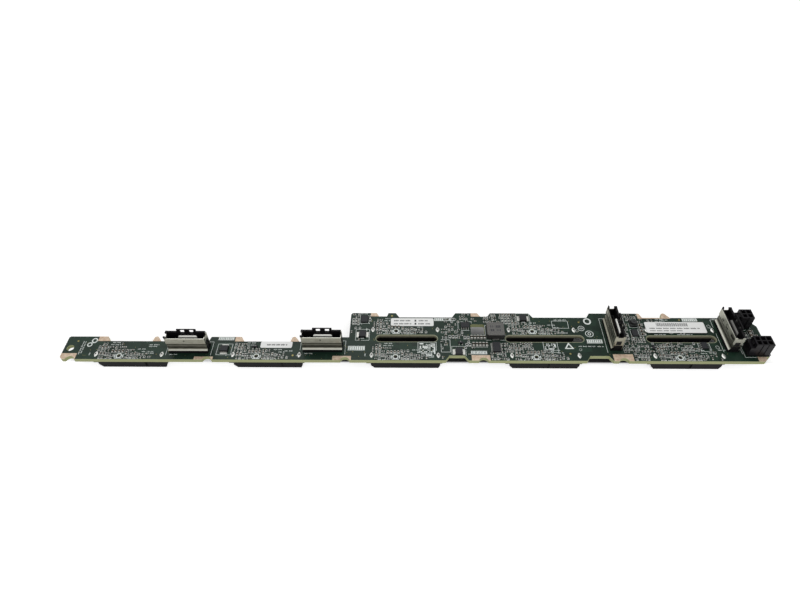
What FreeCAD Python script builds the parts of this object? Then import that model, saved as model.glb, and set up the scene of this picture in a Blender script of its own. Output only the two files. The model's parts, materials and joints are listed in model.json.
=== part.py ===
import FreeCAD, Part
import math
import os

os.makedirs("parts", exist_ok=True)

# Drive backplane board of a one-unit server, lying on its drive receptacles with
# the cable side up. Five drive columns along X, one or two rows of drives along Y.
# All sizes in millimetres. Working frame: x from the first chassis notch, y from the
# front edge of the board, z from the mating faces of the drive receptacles.

# ---------------------------------------------------------------- driving dimensions
# Bays and rows
notch_pitch = 78.0            # one half-round chassis notch per bay
row_pitch = 19.0              # lower drive row to upper drive row
bay_count = 5
first_tall_bay = 2            # bays from here on also carry the upper drive row

# Circuit board
board_thickness = 2.36
left_margin = 6.0             # board beyond the first notch
right_margin = 3.9            # board beyond the last notch
narrow_depth = 16.7           # board depth where there is one drive row
tall_start = 1.4              # tall part starts this far past its bay's notch
edge_recess = 3.4             # relief of the back edge between its tabs
hook_depth = 2.7              # small hook notches in the tall back edge
edge_slope = 2.1              # run of the sloped ends of tabs and recesses
notch_radius = 2.7
notch_rise = 0.5              # notch centre lies this far outside the front edge
front_recess = 3.5            # shallow reliefs of the front edge
corner_chamfer = 1.5
right_chamfer = 4.7
nick_radius = 0.9
tail_chamfer_x = 5.0          # big corner at the right end of the back edge
tail_chamfer_y = 6.5
bump_height = 3.6             # hook bumps on the back edge
mount_hole_radius = 2.1
mount_hole_inset = 3.6        # from the left end
mount_hole_y = 8.1
vent_width = 5.0
vent_y = 16.0
window_length = 8.0           # rectangular cut-out between bays
window_width = 7.7
window_y = 19.1
window_corner = 1.0
pad_thickness = 0.05          # bare copper at the chassis contact points

# Drive receptacles (underside)
receptacle_height = 8.0
receptacle_depth = 6.2
receptacle_y = 2.6            # front face behind the board's front edge
receptacle_left = 14.2        # body left of the locating peg
receptacle_right = 25.4       # body right of the locating peg
shoulder_height = 3.9
shoulder_left = 2.5
shoulder_right = 1.2
left_tip_chamfer = 2.0
right_tip_chamfer = 1.0
tip_height = 2.4
key_rib_offset = 8.2
key_rib_width = 5.2
key_rib_depth = 0.7
slot_margin = 2.9             # body end to blade slot
slot_width = 2.1
slot_depth = 6.3
slot_setback = 1.5            # front face to blade slot
guide_pocket = 1.4
guide_depth = 2.6
peg_u = (27.5, 27.8, 28.5, 29.5, 31.3)    # peg right of each bay's notch
peg_v = 2.6
peg_radius = 0.9
peg_clearance = 0.1
peg_sides = 6                 # crush peg: its corners grip the round hole
peg_recess = 0.3              # peg end below the cable side
blade_pitch = 1.27
fine_pitch = 0.8
blade_width = 0.5
blade_proud = 0.3
blade_length = 3.8
blade_crown = 1.0             # mouth end of a blade to the crown of its bow
blade_end_gap = 0.2
power_blades = 15
signal_blades = 7
segment_gap = 6.35
boardlock_left = 13.5
boardlock_right = 24.2
boardlock_v = 3.7
solder_width = 2.3            # pointed oval pad of a hold-down pin
solder_length = 4.2
solder_top_width = 0.9        # solder where it meets the pin
solder_top_length = 1.3
solder_height = 0.55

# Data sockets (cable side)
socket_length = 22.4
socket_depth = 5.6
socket_height = 11.7
socket_base_height = 1.3
socket_base_margin = 0.6
core_height = 4.5
rear_wall = 1.0
rear_height = 12.5
end_wall = 0.6                # moulded end walls inside the shell's ends
latch_start = 6.1             # raised latch bar in the middle of the rear wall
latch_length = 10.9
latch_height = 13.9
latch_thickness = 0.6
latch_bar = 0.4
latch_window_start = 8.1
latch_window_pitch = 5.1
latch_window_width = 2.4
latch_window_height = 2.2
horn_width = 0.6              # moulded horns at one end of the mouth
front_horn_height = 13.0
rear_horn_height = 12.6
rear_horn_depth = 1.6
horn_root = 1.5
wall_thickness = 0.8
wall_drop = 0.6               # moulded front wall ends below the shell's rim
tongue_end_wall = 1.0         # card slot end to tongue end
card_slot_end = 0.725         # last contact to the slot's end
tongue_thickness = 2.4
tongue_height = 8.0
card_slot_width = 0.9
card_slot_depth = 3.0
sheet = 0.25                  # stamped shell metal
lip_reach = 0.5
lip_low = 1.9                 # flared lip, from here up to lip_top
lip_top = 3.1
bead_low = 4.0                # rolled bead across the lower band
bead_high = 5.0
band_low = 6.0
band_high = 7.3
band_inset = 0.25             # lower band of the front sheet, set back from the upper
bead_inset = 0.3              # hollows on both sides of the bead, set back from the bead
shell_rear_height = 10.8      # rear sheet ends below the latch windows
rear_fold = 0.4               # its rim, folded outwards
shell_hole_radius = 0.5
shell_hole_u = 10.8
shell_hole_z = 9.8
end_window = 2.9
end_window_z = 4.9
end_window_height = 3.2
end_notch = 1.0
end_rim = 1.1                 # rim of the end sheet beside its notch
plate_top = 9.6
plate_lean = 0.7              # its foot stands on the tongue, this far out from the wall
plate_start = 5.9
plate_length = 11.5
plate_slope = 1.0
terminal_pitch = 0.8
terminals_per_row = 18
terminal_width = 0.35
terminal_proud = 0.2
terminal_crown = 0.7          # top of a contact tip to the crown of its bow
terminal_top_gap = 0.4

# Power headers (cable side)
circuit_pitch = 3.0
header_end_wall = 1.93        # centre of the outer circuits to the outside
header_height = 9.5
cavity_size = 2.3
cavity_depth = 7.6
cavity_chamfer = 0.5
header_pin = 0.64
header_pin_height = 5.2
header_rib = 0.6
latch_step_width = 2.2        # lower step beside the cavities, under the latch ramp
latch_step_height = 6.8
latch_ramp_width = 2.4
latch_ramp_height = 1.6
latch_ramp_depth = 0.8

# Small parts
inductor_size = 10.0
inductor_height = 3.8
inductor_corner = 0.8
inductor_terminal_width = 3.4
inductor_terminal_reach = 0.8
choke_size = 4.4
choke_base = 1.3
choke_height = 2.6
choke_foot = 2.1              # radius of its round core cover, low and high
choke_crown = 1.7
choke_dimple = 0.4
choke_sides = 16
diode_length = 4.5
diode_width = 4.1
diode_height = 1.6
diode_lead_reach = 1.4
diode_lead_rise = 0.7
lead_thickness = 0.2
lead_width = 0.45
chip_edge = 0.2
capacitor_length = 1.6
capacitor_width = 0.85
capacitor_height = 0.8
resistor_length = 1.6
resistor_width = 0.8
resistor_height = 0.45
filter_length = 2.2
filter_width = 1.25
filter_height = 1.2
label_thickness = 0.12
label_corner = 0.6

# ---------------------------------------------------------------- worked-out levels
tall_depth = narrow_depth + row_pitch
card_slot_length = (terminals_per_row - 1) * terminal_pitch + terminal_width + 2 * card_slot_end
board_bottom = receptacle_height
board_top = board_bottom + board_thickness
board_left = -left_margin
board_right = bay_count * notch_pitch + right_margin
board_back = tall_depth - edge_recess + bump_height
rear_wall_y = socket_depth - sheet - rear_wall      # inner face of the socket's rear wall
origin = FreeCAD.Vector((board_left + board_right) / 2, board_back / 2, 0)
V = FreeCAD.Vector


# ---------------------------------------------------------------- helpers
def at(bay, u):
    """x of a place u right of a bay's notch."""
    return bay * notch_pitch + u


def peg_x(bay):
    """x of the locating peg of a bay's receptacles."""
    return at(bay, peg_u[bay])


def box(x, y, z, dx, dy, dz):
    return Part.makeBox(dx, dy, dz, V(x, y, z))


def centred_box(x, y, z, dx, dy, dz):
    return box(x - dx / 2, y - dy / 2, z, dx, dy, dz)


def plate(points, z, height):
    """Polygon in the XY plane, extruded upwards."""
    outline = [V(x, y, z) for x, y in points]
    face = Part.Face(Part.makePolygon(outline + outline[:1]))
    return face.extrude(V(0, 0, height))


def profile_along_x(points, x, length):
    """Polygon in the YZ plane, extruded along +X."""
    outline = [V(x, y, z) for y, z in points]
    face = Part.Face(Part.makePolygon(outline + outline[:1]))
    return face.extrude(V(length, 0, 0))


def profile_along_y(points, y, length):
    """Polygon in the XZ plane, extruded along +Y."""
    outline = [V(x, y, z) for x, z in points]
    face = Part.Face(Part.makePolygon(outline + outline[:1]))
    return face.extrude(V(0, length, 0))


def many_sided(x, y, z, low_radius, high_radius, height, sides):
    """Upright frustum on a regular polygon; corners lie on the given radii."""
    rings = []
    for level, radius in ((z, low_radius), (z + height, high_radius)):
        turns = [2 * math.pi * i / sides for i in range(sides)]
        ring = [V(x + radius * math.cos(a), y + radius * math.sin(a), level) for a in turns]
        rings.append(Part.makePolygon(ring + ring[:1]))
    return Part.makeLoft(rings, True, True)


def pointed_oval(x, y, z, width, length):
    """Closed outline that is widest in the middle and comes to a point at both ends in Y."""
    half = width / 2
    quarter = length / 4
    around = [(0, -2), (0.7, -1), (1, 0), (0.7, 1), (0, 2), (-0.7, 1), (-1, 0), (-0.7, -1)]
    ring = [V(x + a * half, y + b * quarter, z) for a, b in around]
    return Part.makePolygon(ring + ring[:1])


def stadium(x, y, z, length, width, height):
    """Round-ended slot cutter, starting at x and centred on y."""
    r = width / 2
    straight = box(x + r, y - r, z, length - width, width, height)
    ends = [Part.makeCylinder(r, height, V(x + r, y, z)),
            Part.makeCylinder(r, height, V(x + length - r, y, z))]
    return straight.fuse(ends).removeSplitter()


def top_edges(solid):
    """Edges that bound the highest face."""
    top = max(solid.Faces, key=lambda face: face.CenterOfMass.z)
    return top.Edges


def moulded(x, y, z, dx, dy, dz, edge=None):
    """Moulded chip body with a bevelled top, centred on x and y."""
    body = centred_box(x, y, z, dx, dy, dz)
    return body.makeChamfer(edge or chip_edge, top_edges(body))


def place(solid, x, y, z, turn=0):
    """Copy of a solid made at the origin, turned about Z and moved."""
    copy = solid.copy()
    copy.rotate(V(0, 0, 0), V(0, 0, 1), turn)
    copy.translate(V(x, y, z))
    return copy


def save(name, shapes):
    """Write one node; several solids go in as a group."""
    solids = [shape for item in shapes for shape in item.Solids]
    moved = []
    for solid in solids:
        copy = solid.copy()
        copy.translate(-origin)
        moved.append(copy)
    result = moved[0] if len(moved) == 1 else Part.makeCompound(moved)
    result.exportStep("parts/%s.step" % name)


# ---------------------------------------------------------------- circuit board
def hook_bump(x, level):
    """Pointed hook on the back edge, listed from right to left."""
    top = level + bump_height
    return [(x + 5.2, level), (x + 2.7, top - 0.2), (x + 1.7, top),
            (x + 0.7, top - 0.6), (x, level)]


def back_edge():
    """Back edge from the right end to the left end, with its tabs and hooks."""
    high = tall_depth
    hook = tall_depth - hook_depth
    low = tall_depth - edge_recess
    narrow_low = narrow_depth - edge_recess
    s = edge_slope
    right = [(board_right, low - tail_chamfer_y), (board_right - tail_chamfer_x, low)]
    bay5 = hook_bump(at(4, 28.6), low) + [(at(4, 17.5), low), (at(4, 16.2), high)]
    bay4 = [(at(4, -13.1), high), (at(4, -13.1 - s), low), (at(3, 31.2), low), (at(3, 29.1), high),
            (at(3, 6.2), high), (at(3, 4.4), hook), (at(3, 0.2), hook), (at(3, -1.4), high)]
    bay3 = [(at(2, 63.6), high), (at(2, 63.6 - s), low), (at(2, 30.2), low), (at(2, 28.1), high),
            (at(2, 23.7), high), (at(2, 22.8), hook), (at(2, 18.1), hook), (at(2, 16.7), high),
            (at(2, tall_start + 0.9), high), (at(2, tall_start), high - 1.1),
            (at(2, tall_start), narrow_depth)]
    bay2 = [(at(2, -3.2), narrow_depth), (at(2, -3.2 - s), narrow_low)]
    bay2 += hook_bump(at(1, 45.8), narrow_low)
    bay2 += [(at(1, 19.1), narrow_low), (at(1, 17.1), narrow_depth), (at(1, -0.6), narrow_depth),
             (at(1, -1.6), narrow_low)]
    bay1 = hook_bump(at(0, 43.6), narrow_low)
    bay1 += [(at(0, 19.0), narrow_low), (at(0, 19.0 - s), narrow_depth),
             (board_left + corner_chamfer / 2, narrow_depth),
             (board_left, narrow_depth - corner_chamfer / 2)]
    return right + bay5 + bay4 + bay3 + bay2 + bay1


def front_edge():
    """Front edge from the left end to the right end, with its two shallow reliefs."""
    points = [(board_left, corner_chamfer), (board_left + corner_chamfer, 0)]
    for bay, start, length in ((2, 56.7, 13.0), (3, 57.5, 14.7)):
        points += [(at(bay, start), 0), (at(bay, start + edge_slope), front_recess),
                   (at(bay, start + length - edge_slope), front_recess),
                   (at(bay, start + length), 0)]
    points += [(board_right - right_chamfer, 0), (board_right, right_chamfer)]
    return points


def notch_cutters(z, height):
    """Half-round chassis notches in the front edge and the nick in the last corner."""
    cutters = [Part.makeCylinder(notch_radius, height, V(at(bay, 0), -notch_rise, z))
               for bay in range(bay_count)]
    nick_x = board_right - right_chamfer / 2
    cutters.append(Part.makeCylinder(nick_radius, height, V(nick_x, right_chamfer / 2, z)))
    return cutters


vents = ((2, 17.0, 35.4), (3, 13.5, 44.8), (4, 16.0, 39.5))   # bay, start, length
window_x = at(3, -6.0)
mount_hole_x = board_left + mount_hole_inset


def receptacle_places():
    """(bay, row) of every drive receptacle, lower row first."""
    lower = [(bay, 0) for bay in range(bay_count)]
    upper = [(bay, 1) for bay in range(first_tall_bay, bay_count)]
    return lower + upper


def make_board():
    body = plate(front_edge() + back_edge(), board_bottom, board_thickness)
    z = board_bottom - 1
    height = board_thickness + 2
    cutters = notch_cutters(z, height)
    cutters.append(Part.makeCylinder(mount_hole_radius, height, V(mount_hole_x, mount_hole_y, z)))
    for bay, start, length in vents:
        cutters.append(stadium(at(bay, start), vent_y, z, length, vent_width, height))
    window = box(window_x, window_y, z, window_length, window_width, height)
    upright = [edge for edge in window.Edges if abs(edge.tangentAt(edge.FirstParameter).z) > 0.9]
    cutters.append(window.makeFillet(window_corner, upright))
    for bay, row in receptacle_places():
        peg = V(peg_x(bay), peg_v + row * row_pitch, z)
        cutters.append(Part.makeCylinder(peg_radius + peg_clearance, height, peg))
    return body.cut(cutters)


def make_pads(board):
    """Bare copper where the chassis grips the board: a skin on the board's own outline."""
    high = tall_depth + bump_height
    narrow_pad = narrow_depth - edge_recess
    tall_pad = tall_depth - hook_depth
    areas = [(at(0, -left_margin), 0, at(0, 3.0), 4.2),
             (at(0, 11.8), narrow_pad, at(0, 20.0), high),
             (at(0, 43.0), narrow_pad, at(0, 49.0), high),
             (at(1, -7.3), 0, at(1, 3.4), 2.1),
             (at(1, 13.6), narrow_pad, at(1, 20.0), high),
             (at(1, 45.6), narrow_pad, at(1, 51.2), high),
             (at(2, -7.0), 0, at(2, 3.5), 2.9),
             (at(2, 13.2), tall_pad, at(2, 18.5), high),
             (at(3, -6.7), 0, at(3, 3.7), 3.8),
             (at(3, -5.3), tall_pad, at(3, 1.0), high),
             (at(4, -5.7), 0, at(4, 5.4), 4.8),
             (at(4, 14.9), tall_pad - 1.3, at(4, 17.6), high),
             (at(4, 17.6), tall_pad - 1.3, at(4, 33.9), high),
             (at(5, -4.2), 0, at(5, right_margin), 3.3)]
    skin = board.copy()
    skin.translate(V(0, 0, board_thickness))
    pads = []
    for x0, y0, x1, y1 in areas:
        cutter = box(x0, y0, board_top, x1 - x0, y1 - y0, pad_thickness)
        pads += cutter.common(skin).Solids
    return pads


# ---------------------------------------------------------------- drive receptacles
def receptacle_profile():
    """Front view of the housing, from the mating face up to the board."""
    left = -receptacle_left
    right = receptacle_right
    top = receptacle_height
    shoulder = receptacle_height - shoulder_height
    return [(left + left_tip_chamfer, 0), (right - right_tip_chamfer, 0), (right, tip_height),
            (right, shoulder), (right + shoulder_right, shoulder), (right + shoulder_right, top),
            (left - shoulder_left, top), (left - shoulder_left, shoulder),
            (left, shoulder), (left, tip_height)]


blade_slot_left = -receptacle_left + slot_margin
blade_slot_length = receptacle_left + receptacle_right - 2 * slot_margin


def make_receptacle():
    """Housing with blade slot, guide pockets, key rib and six-sided crush peg, its axis at x = y = 0."""
    front = receptacle_y - peg_v
    body = profile_along_y(receptacle_profile(), front, receptacle_depth)
    rib_top = receptacle_height - shoulder_height / 2
    rib = profile_along_x([(front, 0.3), (front - key_rib_depth, 1.0),
                           (front - key_rib_depth, rib_top - key_rib_depth), (front, rib_top)],
                          key_rib_offset, key_rib_width)
    body = body.fuse(rib)
    slot_y = front + slot_setback
    cutters = [box(blade_slot_left, slot_y, 0, blade_slot_length, slot_width, slot_depth)]
    key_y = slot_y + slot_width
    cutters.append(box(blade_slot_left, key_y, 0, slot_width / 2, 0.9, slot_depth))
    pocket_y = front + receptacle_depth - guide_depth
    left_pocket = -receptacle_left + left_tip_chamfer
    right_pocket = receptacle_right - right_tip_chamfer - guide_pocket
    for x in (left_pocket - guide_pocket / 2, right_pocket):
        cutters.append(box(x, pocket_y - 0.6, 0, guide_pocket, guide_depth, slot_depth))
    body = body.cut(cutters)
    peg_length = board_thickness - peg_recess
    peg = many_sided(0, 0, receptacle_height, peg_radius, peg_radius, peg_length, peg_sides)
    return body.fuse(peg)


def make_blades():
    """Bowed contact blades on both walls of the blade slot."""
    wall = receptacle_y - peg_v + slot_setback
    far = wall + slot_width
    span = (power_blades + signal_blades - 2) * blade_pitch + segment_gap
    start = blade_slot_left + (blade_slot_length - span) / 2
    top = slot_depth - blade_end_gap
    crown = top - blade_length + blade_crown
    blades = []
    for index in range(power_blades + signal_blades):
        x = start + index * blade_pitch
        if index >= signal_blades:
            x += segment_gap - blade_pitch
        bow = [(far, top - blade_length), (far, top), (far - blade_proud, crown)]
        blades.append(profile_along_x(bow, x - blade_width / 2, blade_width))
    middle = start + (signal_blades - 1) * blade_pitch + segment_gap / 2
    for index in range(signal_blades):
        x = middle + (index - (signal_blades - 1) / 2) * fine_pitch
        bow = [(wall, top), (wall, top - blade_length), (wall + blade_proud, crown)]
        blades.append(profile_along_x(bow, x - blade_width / 2, blade_width))
    return Part.makeCompound(blades)


def solder_joints():
    """Solder over the hold-down pins at both ends of every receptacle."""
    joints = []
    for bay, row in receptacle_places():
        y = boardlock_v + row * row_pitch
        for x in (peg_x(bay) - boardlock_left, peg_x(bay) + boardlock_right):
            low = pointed_oval(x, y, board_top, solder_width, solder_length)
            high = pointed_oval(x, y, board_top + solder_height, solder_top_width,
                                solder_top_length)
            joints.append(Part.makeLoft([low, high], True, True))
    return joints


# ---------------------------------------------------------------- data sockets
def make_socket_housing():
    """Moulded box with a card tongue in its mouth; its rear wall carries the latch bar."""
    margin = socket_base_margin
    base = box(0, -margin, 0, socket_length, socket_depth + 2 * margin, socket_base_height)
    inner_length = socket_length - 2 * sheet
    inside = socket_depth - 2 * sheet
    low_front = band_inset + bead_inset + sheet
    core = box(sheet, low_front, socket_base_height, inner_length, inside + sheet - low_front,
               core_height - socket_base_height)
    wall_top = socket_height - wall_drop
    liner = profile_along_x([(low_front, core_height), (low_front, band_low), (sheet, band_high),
                             (sheet, wall_top), (sheet + wall_thickness, wall_top),
                             (sheet + wall_thickness, core_height)], sheet, inner_length)
    rear = box(sheet, rear_wall_y, core_height, inner_length, rear_wall, rear_height - core_height)
    latch = box(latch_start, socket_depth - latch_thickness, shell_rear_height, latch_length,
                latch_thickness, latch_height - shell_rear_height)
    ends = [box(u, low_front, core_height, end_wall, rear_wall_y - low_front,
                socket_height - end_notch - core_height)
            for u in (sheet, socket_length - sheet - end_wall)]
    horns = []
    for y, depth, top in ((sheet, horn_width, front_horn_height),
                          (rear_wall_y + rear_wall - rear_horn_depth, rear_horn_depth,
                             rear_horn_height)):
        root = box(sheet, y, socket_height - horn_root, horn_width, depth, horn_root)
        head = box(-horn_width / 2, y, socket_height, horn_width + sheet + horn_width / 2, depth,
                   top - socket_height)
        horns += [root, head]
    tongue_y = sheet + wall_thickness + (inside - rear_wall - wall_thickness - tongue_thickness) / 2
    tongue_length = card_slot_length + 2 * tongue_end_wall
    tongue_start = (socket_length - tongue_length) / 2
    tongue = box(tongue_start, tongue_y, core_height, tongue_length, tongue_thickness,
                 tongue_height - core_height)
    body = base.fuse([core, liner, rear, latch, tongue] + ends + horns)
    slot_y = tongue_y + (tongue_thickness - card_slot_width) / 2
    cutters = [box(tongue_start + tongue_end_wall, slot_y, tongue_height - card_slot_depth,
                   card_slot_length, card_slot_width, card_slot_depth)]
    window_z = latch_height - latch_bar - latch_window_height
    for u in (latch_window_start, latch_window_start + latch_window_pitch):
        cutters.append(box(u, rear_wall_y, window_z, latch_window_width, socket_depth - rear_wall_y,
                           latch_window_height))
    return body.cut(cutters).removeSplitter()


def make_spring():
    """Sloped-ended spring plate on the tongue, leaning against the rear wall of the mouth."""
    foot = rear_wall_y - plate_lean
    section = [(foot, tongue_height), (foot + sheet, tongue_height), (rear_wall_y, plate_top - sheet),
               (rear_wall_y, plate_top), (rear_wall_y - sheet, plate_top)]
    blank = profile_along_x(section, plate_start, plate_length)
    left = plate_start
    right = plate_start + plate_length
    face = [(left, tongue_height), (right, tongue_height),
            (right - plate_slope, plate_top), (left + plate_slope, plate_top)]
    return blank.common(profile_along_y(face, foot, rear_wall))


def shell_front_line():
    """Outer line of the stamped front wall: flared lip, rolled bead, step, upper band."""
    hollow = band_inset + bead_inset
    return [(-lip_reach, lip_low), (hollow, lip_top), (band_inset, bead_low),
            (band_inset, bead_high), (hollow, band_low), (0, band_high), (0, socket_height)]


def make_shell(windows):
    """Stamped shell: stepped front, two folded ends, and a rear wall with a folded rim."""
    outside = shell_front_line()
    inside = [(y + sheet, z) for y, z in outside]
    front = profile_along_x(outside + inside[::-1], 0, socket_length)
    ahead = [(-lip_reach, lip_low)] + inside + [(-lip_reach, socket_height)]
    front_space = profile_along_x(ahead, 0, socket_length)
    hole = Part.makeCylinder(shell_hole_radius, 3 * sheet,
                             V(shell_hole_u, -sheet, shell_hole_z), V(0, 1, 0))
    cutters = [hole] + [box(u, -sheet, z, du, 3 * sheet, dz) for u, z, du, dz in windows]
    front = front.cut(cutters)
    solids = [front]
    end_depth = socket_depth - 2 * sheet
    for u in (0, socket_length - sheet):
        end = box(u, sheet, core_height, sheet, end_depth, socket_height - core_height)
        window = box(u, sheet + (end_depth - end_window) / 2, end_window_z,
                     sheet, end_window, end_window_height)
        dip = box(u, sheet + end_rim, socket_height - end_notch,
                  sheet, end_depth - 2 * end_rim, end_notch)
        solids.append(end.cut([window, dip, front_space]))
    y = socket_depth - sheet
    fold_z = shell_rear_height - sheet
    rear = [(y, socket_base_height), (socket_depth, socket_base_height), (socket_depth, fold_z),
            (socket_depth + rear_fold, fold_z), (socket_depth + rear_fold, shell_rear_height),
            (y, shell_rear_height)]
    solids.append(profile_along_x(rear, 0, socket_length))
    return solids


def make_terminals():
    """Two rows of bowed contact tips on the walls of the card slot."""
    inside = socket_depth - 2 * sheet
    tongue_y = sheet + wall_thickness + (inside - rear_wall - wall_thickness - tongue_thickness) / 2
    slot_y = tongue_y + (tongue_thickness - card_slot_width) / 2
    start = (socket_length - (terminals_per_row - 1) * terminal_pitch) / 2
    low = tongue_height - card_slot_depth
    high = tongue_height - terminal_top_gap
    crown = high - terminal_crown
    far_y = slot_y + card_slot_width
    near_bow = [(slot_y, high), (slot_y, low), (slot_y + terminal_proud, crown)]
    far_bow = [(far_y, low), (far_y, high), (far_y - terminal_proud, crown)]
    tips = []
    for index in range(terminals_per_row):
        u = start + index * terminal_pitch - terminal_width / 2
        for bow in (near_bow, far_bow):
            tips.append(profile_along_x(bow, u, terminal_width))
    return Part.makeCompound(tips)


# name suffix, x and y of the socket's corner, turn about Z, windows in the front wall
side_windows = ((4.9, 8.0, 2.2, 1.0), (10.8, 8.0, 2.4, 1.0), (17.6, 8.2, 4.0, 2.0))
sockets = (("1", at(0, 55.8), 5.2, 0, ()),
           ("2", at(2, -24.1), 6.3, 0, ()),
           ("3", at(4, -6.0), 29.8, -90, ()),
           ("4", at(4, 58.8), 29.1, -90, side_windows))


# ---------------------------------------------------------------- power headers
def header_size(columns):
    return (columns - 1) * circuit_pitch + 2 * header_end_wall


def circuit_places(columns):
    first = header_end_wall
    return [(first + i * circuit_pitch, first + j * circuit_pitch)
            for i in range(columns) for j in range(2)]


def make_header(columns):
    """Upright header body with one open cavity per circuit, keying ribs and a latch ramp."""
    length = header_size(columns)
    depth = header_size(2)
    body = box(0, 0, 0, length, depth, header_height)
    cutters = []
    half = cavity_size / 2
    cut = cavity_chamfer
    floor = header_height - cavity_depth
    for u, v in circuit_places(columns):
        if v > depth / 2:
            cutters.append(centred_box(u, v, floor, cavity_size, cavity_size, cavity_depth))
        else:
            keyed = [(u - half + cut, v - half), (u + half - cut, v - half), (u + half, v - half + cut),
                     (u + half, v + half), (u - half, v + half), (u - half, v - half + cut)]
            cutters.append(plate(keyed, floor, cavity_depth))
    groove = header_rib
    for i in range(columns - 1):
        u = header_end_wall + (i + 0.5) * circuit_pitch
        cutters.append(box(u - groove / 2, 0, 1.2, groove, groove / 2, header_height - 1.2))
    body = body.cut(cutters)
    step = box(-latch_step_width, 0, 0, latch_step_width, depth, latch_step_height)
    z = latch_step_height
    ramp = profile_along_y([(0, z), (-latch_ramp_depth, z), (-latch_ramp_depth, z + 0.6),
                            (0, z + latch_ramp_height)],
                           (depth - latch_ramp_width) / 2, latch_ramp_width)
    return body.fuse([step, ramp]).removeSplitter()


def make_header_pins(columns):
    floor = header_height - cavity_depth
    pins = [centred_box(u, v, floor, header_pin, header_pin, header_pin_height)
            for u, v in circuit_places(columns)]
    return Part.makeCompound(pins)


headers = (("6way", 3, at(5, -7.6), 3.8), ("4way", 2, at(5, -8.2), 23.7))


# ---------------------------------------------------------------- chips and small parts
def gull_wings(x, y, length, width, rise, count, pitch, turn=0):
    """Two rows of gull-wing leads beside a chip body of the given length and width."""
    foot = 0.6
    reach = 0.9
    knee = width / 2 + reach - foot
    section = [(width / 2, rise), (knee, 0), (width / 2 + reach, 0),
               (width / 2 + reach, lead_thickness), (knee + lead_thickness, lead_thickness),
               (width / 2, rise + lead_thickness)]
    lead = profile_along_x(section, -lead_width / 2, lead_width)
    start = -(count - 1) * pitch / 2
    row = []
    for side in (0, 180):
        for index in range(count):
            one = place(lead, 0, 0, 0, side)
            one.translate(V(start + index * pitch, 0, 0))
            row.append(one)
    return place(Part.makeCompound(row), x, y, board_top, turn)


def diode_lead():
    """Folded tab lead at one end of a clamp diode, wrapping up its side."""
    y = diode_width / 2
    width = diode_length * 0.8
    section = [(y, 0), (y + diode_lead_reach, 0), (y + diode_lead_reach, lead_thickness),
               (y + lead_thickness, lead_thickness), (y + lead_thickness, diode_lead_rise),
               (y, diode_lead_rise)]
    return profile_along_x(section, -width / 2, width)


# x, y and turn of the four clamp diodes
diodes = ((at(1, 8.8), 7.4, 0), (at(2, 9.1), 18.6, 90),
          (at(3, -13.7), 6.0, 90), (at(3, 25.2), 31.3, 90))


def make_diodes():
    body = moulded(0, 0, 0, diode_length, diode_width, diode_height)
    lead = diode_lead()
    bodies = []
    leads = []
    for x, y, turn in diodes:
        bodies.append(place(body, x, y, board_top, turn))
        leads.append(place(lead, x, y, board_top, turn))
        leads.append(place(lead, x, y, board_top, turn + 180))
    return bodies, leads


def make_inductor():
    x = at(3, 7.9)
    y = 20.4
    body = centred_box(x, y, board_top, inductor_size, inductor_size, inductor_height)
    upright = [edge for edge in body.Edges if abs(edge.tangentAt(edge.FirstParameter).z) > 0.9]
    body = body.makeChamfer(inductor_corner, upright)
    body = body.makeChamfer(chip_edge, top_edges(body))
    terminals = []
    half = inductor_size / 2
    for side in (-1, 1):
        reach = inductor_terminal_reach
        terminals.append(centred_box(x, y + side * (half + reach / 2), board_top,
                                     inductor_terminal_width, reach, lead_thickness * 2))
    return body, terminals


def make_choke(x, y):
    """Square base with a round core cover and its centre dimple."""
    base = moulded(x, y, board_top, choke_size, choke_size, choke_base)
    z = board_top + choke_base
    rise = choke_height - choke_base
    cover = many_sided(x, y, z, choke_foot, choke_crown, rise, choke_sides)
    dimple = many_sided(x, y, z + rise / 2, choke_dimple, choke_dimple, rise / 2, choke_sides // 2)
    return base.fuse(cover).cut(dimple)


def chip_part(x, y, size, turned=False):
    """Surface-mount chip part, its long side along Y, or along X if turned."""
    length, width, height = size
    if turned:
        length, width = width, length
    return centred_box(x, y, board_top, width, length, height)


capacitor = (capacitor_length, capacitor_width, capacitor_height)
resistor = (resistor_length, resistor_width, resistor_height)
filter_capacitor = (filter_length, filter_width, filter_height)


def receptacle_capacitors(bay, row):
    """Coupling capacitors behind one receptacle, placed from its peg."""
    x = peg_x(bay)
    y = row * row_pitch
    parts = [chip_part(x + u, y + v, capacitor) for u in (-10.9, -9.0) for v in (3.8, 8.4)]
    parts += [chip_part(x - 4.3 + 1.95 * i, y + 5.5, capacitor) for i in range(4)]
    parts += [chip_part(x + 3.9, y + 4.3, capacitor), chip_part(x + 9.1, y + 3.9, capacitor)]
    return parts


def receptacle_resistors(bay, row):
    """Pull-up resistors behind one receptacle, placed from its peg."""
    x = peg_x(bay)
    y = row * row_pitch
    parts = [chip_part(x + u, y + 3.4, resistor) for u in (-7.4, -6.1)]
    parts.append(chip_part(x - 3.9, y + 2.6, resistor, turned=True))
    parts += [chip_part(x + u, y + 1.7, resistor) for u in (5.2, 7.1)]
    parts.append(chip_part(x + 12.6, y + 3.4, resistor, turned=True))
    return parts


def block(x, y, columns, rows, dx, dy, size, turned=False):
    """Rectangular block of like chip parts."""
    return [chip_part(x + i * dx, y + j * dy, size, turned)
            for i in range(columns) for j in range(rows)]


def make_filter_capacitors():
    """Two rows of ceramic capacitors in front of the power inductor."""
    back = block(at(3, -5.9), 16.6, 5, 1, 1.87, 0, filter_capacitor)
    front = block(at(3, -5.1), 11.2, 5, 1, 1.87, 0, filter_capacitor)
    return back + front


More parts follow.
